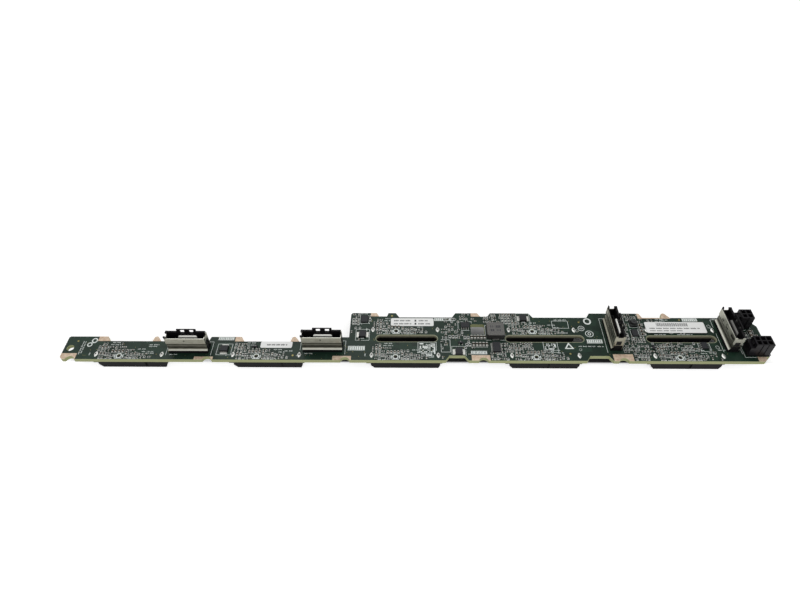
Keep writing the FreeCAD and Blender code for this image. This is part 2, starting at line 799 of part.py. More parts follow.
def make_board_resistors():
    """Resistor blocks away from the receptacles."""
    parts = block(at(3, -9.7), 16.6, 2, 1, 1.85, 0, resistor)
    parts += block(at(3, -8.9), 11.2, 2, 1, 1.8, 0, resistor)
    parts += block(at(2, 3.2), 27.6, 2, 2, 1.7, 2.6, resistor)
    parts += block(at(2, 12.9), 30.0, 1, 2, 0, 2.2, resistor)
    parts += block(at(3, -18.4), 17.2, 3, 1, 1.9, 0, resistor)
    parts += block(at(3, 13.0), 28.2, 3, 2, 1.9, 2.1, resistor)
    parts += block(at(3, 11.6), 3.4, 1, 4, 0, 2.3, resistor, turned=True)
    parts += block(at(4, 1.6), 28.6, 3, 2, 1.9, 2.4, resistor)
    parts += block(at(4, 1.8), 16.6, 3, 2, 1.9, 2.6, resistor)
    parts += block(at(4, 1.8), 8.4, 5, 1, 1.9, 0, resistor)
    parts += block(at(4, 8.2), 3.4, 4, 1, 1.8, 0, resistor)
    parts += block(at(4, 34.4), 8.6, 4, 1, 1.9, 0, resistor)
    parts += block(at(5, -6.6), 17.4, 2, 2, 1.9, 2.4, resistor)
    return parts


def make_board_capacitors():
    """Ceramic capacitors away from the receptacles."""
    parts = block(at(3, 13.6), 34.2, 3, 1, 1.8, 0, capacitor)
    parts += block(at(4, 5.2), 33.3, 2, 1, 2.0, 0, capacitor)
    parts += block(at(4, 14.4), 19.4, 1, 4, 0, 2.3, capacitor, turned=True)
    parts += block(at(4, 24.0), 11.0, 2, 1, 2.0, 0, capacitor)
    parts += block(at(5, -2.2), 18.2, 1, 2, 0, 2.6, filter_capacitor)
    return parts


# chip name, x, y, body length and width, height, leads per row, pitch, turn
leaded_chips = (("gate_driver", at(3, -9.3), 25.6, 4.9, 3.9, 1.4, 4, 1.27, 0),
                ("logic_chip", at(3, 7.8), 9.4, 7.2, 4.2, 1.1, 10, 0.65, 90),
                ("memory_chip", at(4, 47.0), 10.8, 4.6, 3.4, 1.1, 4, 1.27, 90))

# name, x, y, size along X and Y, height
flat_chips = (("hot_swap_chip", at(2, 9.6), 30.5, 4.2, 5.2, 0.9),
              ("regulator_chip", at(4, 10.4), 20.3, 3.6, 4.8, 0.9))

# x, y and turn of the three-legged transistors
transistors = ((at(3, -12.4), 12.6, 0), (at(4, 18.2), 9.6, 90), (at(1, 26.0), 9.2, 0))


def make_transistors():
    body = moulded(0, 0, 0.1, 2.9, 1.3, 0.9)
    tab = centred_box(0, 1.0, 0, 0.5, 0.7, lead_thickness)
    feet = [centred_box(x, -1.0, 0, 0.5, 0.7, lead_thickness) for x in (-0.95, 0.95)]
    bodies = [place(body, x, y, board_top, turn) for x, y, turn in transistors]
    leads = [place(Part.makeCompound([tab] + feet), x, y, board_top, turn)
             for x, y, turn in transistors]
    return bodies, leads


# ---------------------------------------------------------------- labels
def make_label(x, y, length, width, z):
    """Thin paper label with cut corners."""
    c = label_corner
    outline = [(x + c, y), (x + length - c, y), (x + length, y + c), (x + length, y + width - c),
               (x + length - c, y + width), (x + c, y + width), (x, y + width - c), (x, y + c)]
    return plate(outline, z, label_thickness)


# ---------------------------------------------------------------- build and write
def build():
    board = make_board()
    save("circuit_board", [board])
    save("grounding_pads", make_pads(board))

    receptacle = make_receptacle()
    blades = make_blades()
    row_names = ("lower", "upper")
    for bay, row in receptacle_places():
        y = peg_v + row * row_pitch
        name = "%s_receptacle_%d" % (row_names[row], bay + 1)
        save(name, [place(receptacle, peg_x(bay), y, 0)])
        save(name + "_contacts", [place(blades, peg_x(bay), y, 0)])
    save("receptacle_solder_joints", solder_joints())

    housing = make_socket_housing()
    terminals = make_terminals()
    spring = make_spring()
    save("data_socket_springs", [place(spring, x, y, board_top, turn)
                                 for _, x, y, turn, _ in sockets])
    for suffix, x, y, turn, windows in sockets:
        shell = make_shell(windows)
        save("data_socket_housing_" + suffix, [place(housing, x, y, board_top, turn)])
        save("data_socket_shell_" + suffix, [place(s, x, y, board_top, turn) for s in shell])
        save("data_socket_contacts_" + suffix, [place(terminals, x, y, board_top, turn)])

    for suffix, columns, x, y in headers:
        save("power_header_" + suffix, [place(make_header(columns), x, y, board_top)])
        save("power_header_pins_" + suffix, [place(make_header_pins(columns), x, y, board_top)])

    core, terminals = make_inductor()
    save("power_inductor", [core])
    save("power_inductor_terminals", terminals)
    save("small_choke", [make_choke(at(4, 11.0), 27.4)])

    bodies, leads = make_diodes()
    save("clamp_diodes", bodies)
    save("clamp_diode_leads", leads)
    bodies, leads = make_transistors()
    save("transistors", bodies)
    save("transistor_leads", leads)

    for name, x, y, length, width, height, count, pitch, turn in leaded_chips:
        body = moulded(0, 0, 0, length, width, height)
        save(name, [place(body, x, y, board_top, turn)])
        rise = height / 2
        save(name + "_leads", [gull_wings(x, y, length, width, rise, count, pitch, turn)])
    for name, x, y, dx, dy, height in flat_chips:
        save(name, [moulded(x, y, board_top, dx, dy, height)])

    rows = [[], []]
    resistors = make_board_resistors()
    for bay, row in receptacle_places():
        rows[row] += receptacle_capacitors(bay, row)
        resistors += receptacle_resistors(bay, row)
    save("lower_row_capacitors", rows[0])
    save("upper_row_capacitors", rows[1])
    save("filter_capacitors", make_filter_capacitors())
    save("board_capacitors", make_board_capacitors())
    save("chip_resistors", resistors)

    save("part_label", [make_label(at(2, 25.3), 25.4, 25.2, 6.1, board_top)])
    save("revision_label", [make_label(at(1, 29.0), 8.6, 18.2, 4.6, board_top)])
    save("barcode_label", [make_label(at(4, 17.2), 20.0, 34.4, 8.2, board_top + capacitor_height)])


build()
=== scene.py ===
# %% [markdown]
# # Drive backplane board
# A long glass-epoxy board lies on its black drive receptacles with its cable side up. It carries
# shielded data sockets, two power headers, chips, rows of tiny ceramic parts and white silk print.
# The construction comes from CAD as a fixed frame. This lesson adds the looks: finishes for every
# part of the frame, and the fine pieces that are too small for CAD, such as solder, pads and print.

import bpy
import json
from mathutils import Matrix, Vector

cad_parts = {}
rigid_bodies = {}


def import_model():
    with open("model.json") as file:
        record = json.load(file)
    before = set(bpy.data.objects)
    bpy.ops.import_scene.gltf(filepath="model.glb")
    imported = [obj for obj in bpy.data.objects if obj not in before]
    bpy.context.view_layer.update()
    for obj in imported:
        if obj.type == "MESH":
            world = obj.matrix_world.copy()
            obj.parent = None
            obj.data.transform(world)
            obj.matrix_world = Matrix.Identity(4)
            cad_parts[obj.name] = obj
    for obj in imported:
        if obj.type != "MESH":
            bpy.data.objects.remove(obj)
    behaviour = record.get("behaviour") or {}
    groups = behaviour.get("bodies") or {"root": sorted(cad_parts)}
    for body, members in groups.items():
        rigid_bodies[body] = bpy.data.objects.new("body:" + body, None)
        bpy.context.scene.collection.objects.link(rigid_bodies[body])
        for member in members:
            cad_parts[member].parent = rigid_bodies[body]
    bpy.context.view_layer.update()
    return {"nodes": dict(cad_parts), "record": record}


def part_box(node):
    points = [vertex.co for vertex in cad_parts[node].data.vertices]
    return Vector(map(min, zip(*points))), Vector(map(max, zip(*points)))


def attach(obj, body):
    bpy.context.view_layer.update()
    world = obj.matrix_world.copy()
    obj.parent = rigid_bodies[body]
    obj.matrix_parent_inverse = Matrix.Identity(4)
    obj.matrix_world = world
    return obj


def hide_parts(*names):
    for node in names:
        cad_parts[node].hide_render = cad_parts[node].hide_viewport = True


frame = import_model()
print("nodes:", len(frame["nodes"]))

# %% [markdown]
# ## Places on the board
# Everything on a board is placed from a corner of its outline, in millimetres. Here the datum is
# the first half-round notch of the front edge, because the drive columns repeat from there. The
# board's own box gives that datum, and the receptacles' boxes give the places of their pegs.

# %% Datum, and a function that turns board millimetres into metres
import math

import bpy
from mathutils import Matrix, Vector

MM = 0.001
NOTCH_INSET = 6.0       # left end of the board to its first notch
ROW_PITCH = 19.0
PEG_FROM_LEFT = 16.7    # left end of a receptacle to its locating peg

board_low, board_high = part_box("circuit_board")
TOP = board_high.z


def spot(x, y, rise=0.0):
    """Point on the board's cable side, from the first notch and the front edge, in metres."""
    return Vector((board_low.x + (NOTCH_INSET + x) * MM, board_low.y + y * MM, TOP + rise * MM))


RECEPTACLES = [name for name in frame["nodes"] if "receptacle_" in name and name[-1].isdigit()]


def peg_of(name):
    """x and y of the peg row's datum of a receptacle, in board millimetres."""
    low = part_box(name)[0]
    x = (low.x - board_low.x) / MM - NOTCH_INSET + PEG_FROM_LEFT
    return x, (ROW_PITCH if name.startswith("upper") else 0.0)


PEGS = [peg_of(name) for name in sorted(RECEPTACLES)]
print("pegs:", [(round(x, 1), y) for x, y in PEGS])

# %% [markdown]
# ## Finding the small parts
# CAD groups the ceramic chips of one kind into one node. Each chip needs its own metal ends here,
# so a copy of the node is merged and split into loose parts, whose boxes are read. The copy is
# thrown away: the node itself is never touched.


# %% Boxes of the separate solids in one node
def deselect():
    if bpy.context.object and bpy.context.object.mode != "OBJECT":
        bpy.ops.object.mode_set(mode="OBJECT")
    bpy.ops.object.select_all(action="DESELECT")


def activate(*objects):
    deselect()
    for one in objects:
        one.select_set(True)
    bpy.context.view_layer.objects.active = objects[0]


def box_of(piece):
    corners = [Vector(c) for c in piece.bound_box]
    low = Vector([min(c[i] for c in corners) for i in range(3)])
    high = Vector([max(c[i] for c in corners) for i in range(3)])
    return low, high


def solids_of(node):
    copy = frame["nodes"][node].copy()
    copy.data = copy.data.copy()
    copy.parent = None
    bpy.context.scene.collection.objects.link(copy)
    activate(copy)
    bpy.ops.object.mode_set(mode="EDIT")
    bpy.ops.mesh.select_all(action="SELECT")
    bpy.ops.mesh.remove_doubles(threshold=1e-6)
    bpy.ops.mesh.separate(type="LOOSE")
    bpy.ops.object.mode_set(mode="OBJECT")
    parts = list(bpy.context.selected_objects)
    boxes = [box_of(part) for part in parts]
    meshes = [part.data for part in parts]
    bpy.data.batch_remove(parts)
    bpy.data.batch_remove(meshes)
    return sorted(boxes, key=lambda b: (round(b[0].x, 5), round(b[0].y, 5)))


CHIP_NODES = ("lower_row_capacitors", "upper_row_capacitors", "board_capacitors",
              "filter_capacitors", "chip_resistors")
chips = {node: solids_of(node) for node in CHIP_NODES}
print("chips:", {node: len(boxes) for node, boxes in chips.items()})

# %% [markdown]
# ## Writing finishes as arithmetic
# A finish is a small calculation over the surface: how far from an edge, how much dust, how wide a
# scratch. One class wraps a node socket, so that the calculation reads as Python, and one method
# adds any other node by its type, its settings and what its sockets get.


# %% A socket that can be added, multiplied and compared
class Term:
    """A value in a finish. Arithmetic on it adds Math nodes."""

    def __init__(self, socket):
        self.socket = socket

    def math(self, operation, *terms):
        node = self.socket.node.id_data.nodes.new("ShaderNodeMath")
        node.operation = operation
        for slot, term in zip(node.inputs, terms):
            feed(slot, term)
        return Term(node.outputs[0])

    def __add__(self, other):
        return self.math("ADD", self, other)

    def __sub__(self, other):
        return self.math("SUBTRACT", self, other)

    def __rsub__(self, other):
        return self.math("SUBTRACT", other, self)

    def __mul__(self, other):
        return self.math("MULTIPLY", self, other)

    def __gt__(self, other):
        return self.math("GREATER_THAN", self, other)

    def __lt__(self, other):
        return self.math("LESS_THAN", self, other)

    def __abs__(self):
        return self.math("ABSOLUTE", self)

    __radd__ = __add__
    __rmul__ = __mul__

    def at_least(self, other):
        return self.math("MAXIMUM", self, other)

    def at_most(self, other):
        return self.math("MINIMUM", self, other)

    def root(self):
        return self.math("SQRT", self)

    def wave(self):
        return self.math("SINE", self)


def feed(slot, term):
    """Give a socket a link or a plain value."""
    if isinstance(term, Term):
        slot.id_data.links.new(term.socket, slot)
    else:
        slot.default_value = term


# %% One finish: its node tree, and one method for any node
def screen(red, green, blue):
    """Linear colour from the 0 to 255 values of a colour chart."""
    def linear(value):
        value /= 255
        return value / 12.92 if value <= 0.04045 else ((value + 0.055) / 1.055) ** 2.4
    return (linear(red), linear(green), linear(blue), 1.0)


class Finish:
    def __init__(self, name):
        self.material = bpy.data.materials.new(name)
        self.material.use_nodes = True
        self.tree = self.material.node_tree
        self.shader = self.tree.nodes["Principled BSDF"]
        self.place = self.add("TexCoord", out="Object")

    def add(self, kind, settings=(), sockets=(), out=0):
        node = self.tree.nodes.new("ShaderNode" + kind)
        for name, value in dict(settings).items():
            setattr(node, name, value)
        for name, value in dict(sockets).items():
            feed(node.inputs[name], value)
        return Term(node.outputs[out])

    def noise(self, per_mm, detail=2.0, place=None):
        return self.add("TexNoise", sockets={"Vector": place or self.place, "Scale": per_mm / MM,
                                             "Detail": detail}, out="Fac")

    def blend(self, factor, first, second):
        """Mix of two colours."""
        return self.add("Mix", {"data_type": "RGBA"}, {0: factor, 6: first, 7: second}, out=2)

    def levels(self, factor, low, high):
        """Factor stretched so that low becomes 0 and high becomes 1, held inside 0 and 1."""
        return self.add("MapRange", sockets={"Value": factor, "From Min": low, "From Max": high})

    def axis(self, name, vector=None):
        """One axis of the surface's place, or of another vector."""
        return self.add("SeparateXYZ", sockets={"Vector": vector or self.place}, out=name)

    def rise(self):
        """Height over the board's cable side, in mm."""
        return (self.axis("Z") - TOP) * (1 / MM)

    def looks(self, name):
        """How much the surface looks along an axis: on Z, 1 on a level top, 0 on an upright face."""
        return self.axis(name, self.add("NewGeometry", out="Normal"))

    def stretched(self, x, y, z):
        """The surface's place with each axis scaled, for streaks."""
        return self.add("Mapping", sockets={"Vector": self.place, "Scale": (x, y, z)})

    def relief(self, height, depth_mm, strength=1.0):
        bump = self.add("Bump", sockets={"Height": height, "Distance": depth_mm * MM,
                                         "Strength": strength})
        feed(self.shader.inputs["Normal"], bump)

    def wear(self, **sockets):
        """Set the shader's own sockets; names use _ for a space."""
        for name, value in sockets.items():
            feed(self.shader.inputs[name.replace("_", " ")], value)
        return self.material


# %% [markdown]
# ## Solder mask and laminate
# The board is one solid, but it shows two materials: green lacquer on its faces, and the cut
# glass-epoxy laminate on its edge. The surface normal tells them apart. Under the lacquer the
# copper pours and traces lie a hair higher and look lighter. Each routed slot has a thin bare rim,
# which is a distance from the slot's own outline, worked out in the finish.


# %% Distance from a round-ended slot, as a calculation
SLOT_INSET = 1.1        # box end of an opening to the centre of the slot's round end
SLOT_HALF_WIDTH = 2.5


def slot_distance(x, y, opening):
    """Distance outside a slot whose middle line follows the frame's opening box, in mm."""
    (x0, y0, _), (x1, y1, _) = opening["box_m"]
    centre_x, centre_y = (x0 + x1) / 2, (y0 + y1) / 2
    reach = (x1 - x0) / 2 - SLOT_INSET * MM
    dx = (abs(x - centre_x) - reach).at_least(0.0)
    dy = y - centre_y
    return (dx * dx + dy * dy).root() * (1 / MM) - SLOT_HALF_WIDTH


RIM_WIDTH = 0.3
openings = frame["record"]["physics"]["openings"]
slots = [one for one in openings if one["name"].startswith("vent")]
print("slots with bare rims:", len(slots))


# %% The board's finish
def board_finish():
    f = Finish("solder_mask_on_laminate")
    x, y, z = (f.axis(name) for name in "XYZ")
    face = abs(f.looks("Z")) > 0.5

    lines = f.add("TexWave", {"wave_type": "BANDS", "bands_direction": "X"},
                  {"Vector": f.place, "Scale": 0.62 / MM, "Distortion": 1.2, "Detail": 1.0,
                   "Detail Scale": 0.4}, out="Fac")
    across = f.add("TexWave", {"wave_type": "BANDS", "bands_direction": "DIAGONAL"},
                   {"Vector": f.place, "Scale": 0.5 / MM, "Distortion": 0.4}, out="Fac")
    regions = f.add("TexVoronoi", {"distance": "CHEBYCHEV"},
                    {"Vector": f.stretched(1, 1.6, 0), "Scale": 0.16 / MM}, out="Color")
    tone = f.axis("X", regions)
    other = f.axis("Y", regions)
    traces = (lines > 0.62) * (tone > 0.45) + (across > 0.7) * (tone < 0.22)
    pour = other > 0.55
    copper = traces.at_most(1.0) * 0.5 + pour * 0.5
    cloud = f.noise(0.06)
    green = f.blend(copper, screen(21, 39, 30), screen(31, 57, 43))
    green = f.blend(cloud * 0.5, green, screen(28, 44, 36))

    weave = f.add("TexWave", {"wave_type": "BANDS", "bands_direction": "Z"},
                  {"Vector": f.place, "Scale": 0.8 / MM, "Distortion": 2.0, "Detail": 2.0}, out="Fac")
    laminate = f.blend(weave * 0.45, screen(172, 176, 132), screen(138, 142, 104))
    middle = (board_low.z + TOP) / 2
    rim = f.levels(abs(z - middle) * (1 / MM), 0.85, 1.1)
    laminate = f.blend(rim * 0.7, laminate, screen(196, 200, 160))

    away = None
    for opening in slots:
        distance = slot_distance(x, y, opening)
        away = distance if away is None else away.at_most(distance)
    rimmed = away < RIM_WIDTH
    bare = rimmed * face
    inside = rimmed * (1 - face)
    # Painted shade: the slot walls run from light at the lacquer to dark at the underside, as if little
    # light reaches down into the slot.
    shaded_slot_wall = f.blend(f.levels(z, board_low.z, TOP), screen(66, 64, 54), screen(180, 178, 152))
    laminate = f.blend(inside, laminate, shaded_slot_wall)
    bare_colour = f.blend(f.noise(0.9), screen(132, 136, 112), screen(160, 163, 138))
    colour = f.blend(face, laminate, f.blend(bare, green, bare_colour))
    f.relief(copper * face + weave * (1 - face) * 0.4, 0.02)
    rough = f.levels(f.noise(0.8), 0.2, 0.8) * 0.12 + 0.3 + (1 - face) * 0.35 + bare * 0.3
    return f.wear(Base_Color=colour, Roughness=rough, Specular_IOR_Level=0.2)


mask = board_finish()
print("board finish:", len(mask.node_tree.nodes), "nodes")

# %% [markdown]
# ## Plastics, metals and ceramics
# Most parts need one of a few families. Moulded plastic has a fine grain and a slow change of
# gloss. Stamped or plated metal has streaks along its rolling direction and dull finger smudges.
# Ceramic and epoxy are matt with specks. Each family is a function with the colours and the scale.


# %% Families of finishes
SHELL_TOP = 11.5        # height of a socket shell's upper rim over the board, in mm


def plastic(name, dark, light, gloss=0.42, grain=3.0):
    f = Finish(name)
    fine = f.noise(grain, 3.0)
    slow = f.noise(0.12)
    f.relief(fine, 0.012, 0.6)
    return f.wear(Base_Color=f.blend(slow, dark, light), Roughness=fine * 0.12 + gloss,
                  Specular_IOR_Level=0.2)


def metal(name, dull, bright, gloss=0.3, streak=(0.15, 1.0, 1.0), smudge=0.35, painted_band=None,
          fold_pitch=None):
    """Plated sheet, with painted shade on faces that look down. A band, where given, is two heights
    between which a dark band is painted as shade, with a painted highlight below it on the lip and
    along the top rim; fold_pitch: from one painted line of fold shade along the sheet to the next;
    both over the board, in mm."""
    f = Finish(name)
    streaks = f.noise(2.5, 3.0, f.stretched(*streak))
    smudges = f.levels(f.noise(smudge), 0.35, 0.65)
    f.relief(streaks, 0.006, 0.5)
    colour = f.blend(streaks * 0.5 + smudges * 0.5, dull, bright)
    # Painted shade: faces that look down are darkened, standing for the dark board that they mirror.
    painted_down_shade = f.blend(0.7, colour, screen(30, 32, 28))
    colour = f.blend(f.levels(f.looks("Z"), -0.5, 0.1), painted_down_shade, colour)
    # Painted shade and highlight: between the two heights a dark band stands for the shade of the
    # recessed band and the dark board it mirrors; below it, on the lip, a near-white highlight is
    # painted.
    if painted_band:
        low, high = painted_band
        rise = f.rise()
        painted_dark_band = f.levels(rise, low, low + 0.3) * f.levels(rise, high, high - 0.6)
        # Painted highlight along the shell's top edge.
        rim = f.levels(rise, SHELL_TOP - 0.08, SHELL_TOP + 0.08)
        painted_lip_and_rim_highlight = f.levels(rise, low, low - 0.2).at_least(rim)
        colour = f.blend(painted_dark_band * (streaks * 0.3 + 0.6), colour, screen(44, 44, 36))
        colour = f.blend(painted_lip_and_rim_highlight * 0.7, colour, screen(236, 236, 224))
    # Painted shade: dark lines at the fold pitch, on faces that look towards -X, stand for the shade of
    # the sheet's folds.
    if fold_pitch:
        side = f.looks("X") < -0.4
        painted_fold_shade = (f.rise() * (2 * math.pi / fold_pitch)).wave()
        colour = f.blend(f.levels(painted_fold_shade, -0.1, 0.4) * side * 0.85, colour, screen(40, 40, 34))
    return f.wear(Base_Color=colour, Metallic=1.0, Roughness=streaks * 0.14 + smudges * 0.1 + gloss)


LAST_SPRING = 170.0     # left of the last socket, whose spring plate is painted dark grey as shade, in mm


def spring_tin_with_painted_glow():
    """Springy tin plate with a painted glow, so that it reads as lit, and painted shade at its foot."""
    f = Finish("spring_tin")
    rolled = f.noise(1.5, 3.0, f.stretched(0.2, 1, 1))
    f.relief(rolled, 0.006, 0.5)
    colour = f.blend(rolled, screen(238, 238, 230), screen(252, 252, 247))
    # Painted shade: below 8.5 mm over the board the plate is dark, standing for the shade at its foot.
    colour = f.blend(f.levels(f.rise(), 8.5, 8.8), screen(40, 40, 34), colour)
    # Painted shade: the last socket's plate is dark grey, as it lies in shade.
    shaded_last_spring = f.levels(f.axis("X") * (1 / MM), LAST_SPRING, LAST_SPRING + 5)
    colour = f.blend(shaded_last_spring * 0.8, colour, screen(60, 58, 58))
    # Painted light: the plate glows a little in its own colour, so that it reads as lit.
    return f.wear(Base_Color=colour, Roughness=rolled * 0.2 + 0.3, Emission_Color=colour,
                  Emission_Strength=0.3)


def ceramic(name, dark, light, gloss=0.5, specks=4.0):
    f = Finish(name)
    speck = f.noise(specks, 2.0)
    f.relief(speck, 0.01, 0.5)
    colour = f.blend(f.levels(speck, 0.35, 0.65), dark, light)
    # Painted shade: upright faces are darkened towards near black, leaving the top lighter, as if lit
    # from above.
    colour = f.blend(f.levels(f.looks("Z"), 0.2, 0.9) * 0.8 + 0.2, screen(14, 14, 15), colour)
    return f.wear(Base_Color=colour, Roughness=speck * 0.15 + gloss, Specular_IOR_Level=0.25)


black_nylon = plastic("black_nylon", screen(11, 10, 12), screen(20, 18, 21))
header_black = plastic("header_black", screen(11, 10, 13), screen(20, 18, 22), gloss=0.3)
tinned_shell = metal("tinned_shell", screen(134, 132, 118), screen(176, 175, 162), painted_band=(2.7, 7.3))
side_shell = metal("drawn_shell", screen(150, 148, 132), screen(190, 188, 172), fold_pitch=2.6)
pale_shell = metal("pale_shell", screen(158, 158, 146), screen(198, 198, 184), painted_band=(2.6, 6.6))
tinned_lead = metal("tinned_lead", screen(165, 166, 162), screen(214, 214, 208), gloss=0.35)
dull_lead = metal("dull_lead", screen(128, 130, 126), screen(172, 173, 168), gloss=0.4)
spring_tin = spring_tin_with_painted_glow()
pin_tin = metal("pin_tin", screen(60, 62, 58), screen(96, 98, 92), gloss=0.4)
gold = metal("gold_contact", screen(196, 150, 70), screen(232, 190, 108), gloss=0.25)
gold_via = metal("gold_via", screen(128, 118, 74), screen(170, 160, 108), gloss=0.35)
epoxy = ceramic("chip_epoxy", screen(32, 33, 36), screen(46, 48, 51), gloss=0.45)
ferrite = ceramic("ferrite", screen(86, 86, 84), screen(110, 109, 106), gloss=0.5, specks=2.2)
dark_ferrite = ceramic("dark_ferrite", screen(44, 45, 46), screen(66, 68, 68), gloss=0.5)
tan_ceramic = ceramic("ceramic_body", screen(62, 54, 44), screen(98, 84, 66))
dark_ceramic = ceramic("dark_ceramic", screen(42, 38, 33), screen(70, 61, 49))
resistor_black = ceramic("resistor_film", screen(18, 18, 20), screen(32, 32, 34), gloss=0.3)
print("families ready")


# %% Bare copper pads, solder, label paper, silk ink
def bare_copper():
    """Tin-washed copper with blotches where the chassis springs rubbed."""
    f = Finish("bare_copper")
    blotch = f.levels(f.noise(0.55, 4.0), 0.38, 0.62)
    spots = f.levels(f.noise(1.6, 2.0), 0.62, 0.7)
    colour = f.blend(blotch, screen(188, 163, 139), screen(214, 194, 171))
    colour = f.blend(spots * 0.7, colour, screen(150, 116, 94))
    f.relief(blotch, 0.01, 0.5)
    return f.wear(Base_Color=colour, Metallic=0.15, Roughness=blotch * 0.2 + 0.4)


def paper():
    f = Finish("label_paper")
    fibre = f.noise(2.0, 4.0, f.stretched(1, 2.5, 1))
    f.relief(fibre, 0.01, 0.5)
    colour = f.blend(f.noise(0.1), screen(220, 221, 219), screen(236, 237, 235))
    return f.wear(Base_Color=colour, Roughness=fibre * 0.1 + 0.55)


def ink(name, thin, thick):
    """Screen-printed ink, a little uneven where the mesh let less through."""
    f = Finish(name)
    cover = f.levels(f.noise(3.5, 3.0), 0.3, 0.6)
    f.relief(cover, 0.004, 0.5)
    return f.wear(Base_Color=f.blend(cover, thin, thick), Roughness=cover * 0.1 + 0.5)


copper = bare_copper()
solder = metal("solder", screen(226, 227, 222), screen(252, 252, 248), gloss=0.4, streak=(1, 1, 1))
label_paper = paper()
silk = ink("silk_ink", screen(178, 187, 182), screen(234, 239, 236))
print_ink = ink("label_print", screen(60, 62, 66), screen(34, 35, 38))
print("skins and inks ready")

# %% [markdown]
# ## Dressing the frame
# The nodes of the frame already have their true shape, so they stay and only get a finish. The
# record says which material each node has, so one table from its slots to the finishes dresses
# them all. A second table names the few nodes that look otherwise, such as the power headers, whose
# nylon is glossier.

# %% One finish for each slot of the record
BY_SLOT = {"solder_mask": mask, "bare_copper": copper, "black_nylon": black_nylon,
           "gold_contact": gold, "tinned_shell": tinned_shell, "tinned_lead": tinned_lead,
           "solder": solder, "chip_epoxy": epoxy, "ferrite": ferrite, "ceramic": tan_ceramic,
           "resistor_film": resistor_black, "label_paper": label_paper}

# The contacts of sockets 3 and 4 take the dimmer via gold as painted shade, since they lie in shade in
# their housings.
BY_NODE = {"power_header_6way": header_black, "power_header_4way": header_black,
           "small_choke": dark_ferrite, "data_socket_springs": spring_tin,
           "filter_capacitors": dark_ceramic, "data_socket_shell_3": side_shell,
           "data_socket_shell_4": pale_shell, "data_socket_contacts_3": gold_via,
           "data_socket_contacts_4": gold_via,
           "gate_driver_leads": dull_lead, "logic_chip_leads": dull_lead,
           "memory_chip_leads": dull_lead}

for part in frame["record"]["subparts"]:
    mesh = frame["nodes"][part["node"]].data
    mesh.materials.clear()
    mesh.materials.append(BY_NODE.get(part["node"], BY_SLOT[part["material_slot"]]))

# %% [markdown]
# ## Stamping
# Silk marks, pads and metal ends repeat hundreds of times. Each kind is modelled once, as a
# master of one millimetre, and copied to its places with its own size. The copies are then joined
# into one piece, which a board maker would call a layer.


# %% Copy a master to its places and join the copies into one piece
def stamp(master, name, places, finish, soft=False):
    """places: (x, y, width, depth, turn) in board mm, and a height where it isn't the master's."""
    copies = []
    for x, y, width, depth, turn, *height in places:
        mesh = master.data.copy()
        grow = Matrix.Diagonal((width, depth, *(height or [1]), 1))
        mesh.transform(Matrix.Translation(spot(x, y)) @ Matrix.Rotation(turn, 4, "Z") @ grow)
        copy = bpy.data.objects.new(name, mesh)
        bpy.context.scene.collection.objects.link(copy)
        copies.append(copy)
    activate(*copies)
    bpy.ops.object.join()
    piece = bpy.context.object
    piece.name = name
    return finished(piece, finish, soft)


def finished(piece, finish, soft=False):
    """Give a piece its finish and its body."""
    piece.data.materials.clear()
    piece.data.materials.append(finish)
    for face in piece.data.polygons:
        face.material_index = 0
    if soft:
        activate(piece)
        bpy.ops.object.shade_smooth_by_angle(angle=math.radians(35))
    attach(piece, "root")
    return piece


def drop(master):
    bpy.data.meshes.remove(master.data)


# %% Masters: a flat mark and a ring
def closed_master():
    """Turn the faces of the shape in hand outwards and leave edit mode."""
    bpy.ops.mesh.select_all(action="SELECT")
    bpy.ops.mesh.normals_make_consistent(inside=False)
    bpy.ops.object.mode_set(mode="OBJECT")
    return bpy.context.object


def raise_all(thickness):
    bpy.ops.mesh.select_all(action="SELECT")
    bpy.ops.mesh.extrude_region_move(TRANSFORM_OT_translate={"value": (0, 0, thickness * MM)})


def mark_master(thickness, rise=0.0):
    """Square mark of 1 mm with a raised face and no underside."""
    deselect()
    bpy.ops.mesh.primitive_plane_add(size=MM, location=(0, 0, rise * MM))
    bpy.ops.object.mode_set(mode="EDIT")
    raise_all(thickness)
    mark = closed_master()
    bpy.ops.object.transform_apply(location=True, rotation=True, scale=True)
    return mark


def ring_master(outer, inner, thickness, sides=16):
    """Flat printed ring."""
    deselect()
    bpy.ops.mesh.primitive_circle_add(vertices=sides, radius=outer * MM, fill_type="NGON")
    bpy.ops.object.mode_set(mode="EDIT")
    bpy.ops.mesh.select_all(action="SELECT")
    bpy.ops.mesh.inset(thickness=(outer - inner) * MM, use_even_offset=False)
    bpy.ops.mesh.delete(type="FACE")
    raise_all(thickness)
    return closed_master()


def frame_bars(x0, y0, x1, y1, line=0.18):
    """Four bars of a printed rectangle."""
    x, y = (x0 + x1) / 2, (y0 + y1) / 2
    wide, deep = abs(x1 - x0), abs(y1 - y0)
    return [(x, y0, wide, line), (x, y1, wide, line), (x0, y, line, deep), (x1, y, line, deep)]


# %% [markdown]
# ## Metal ends of the ceramic chips
# A chip capacitor or resistor is a ceramic block whose two ends are dipped in metal and soldered
# to a pad. The block is in the frame. Its ends are added as thin caps that wrap it, each with a
# solder fillet running down to the pad, and a printed bracket stands round most of them.


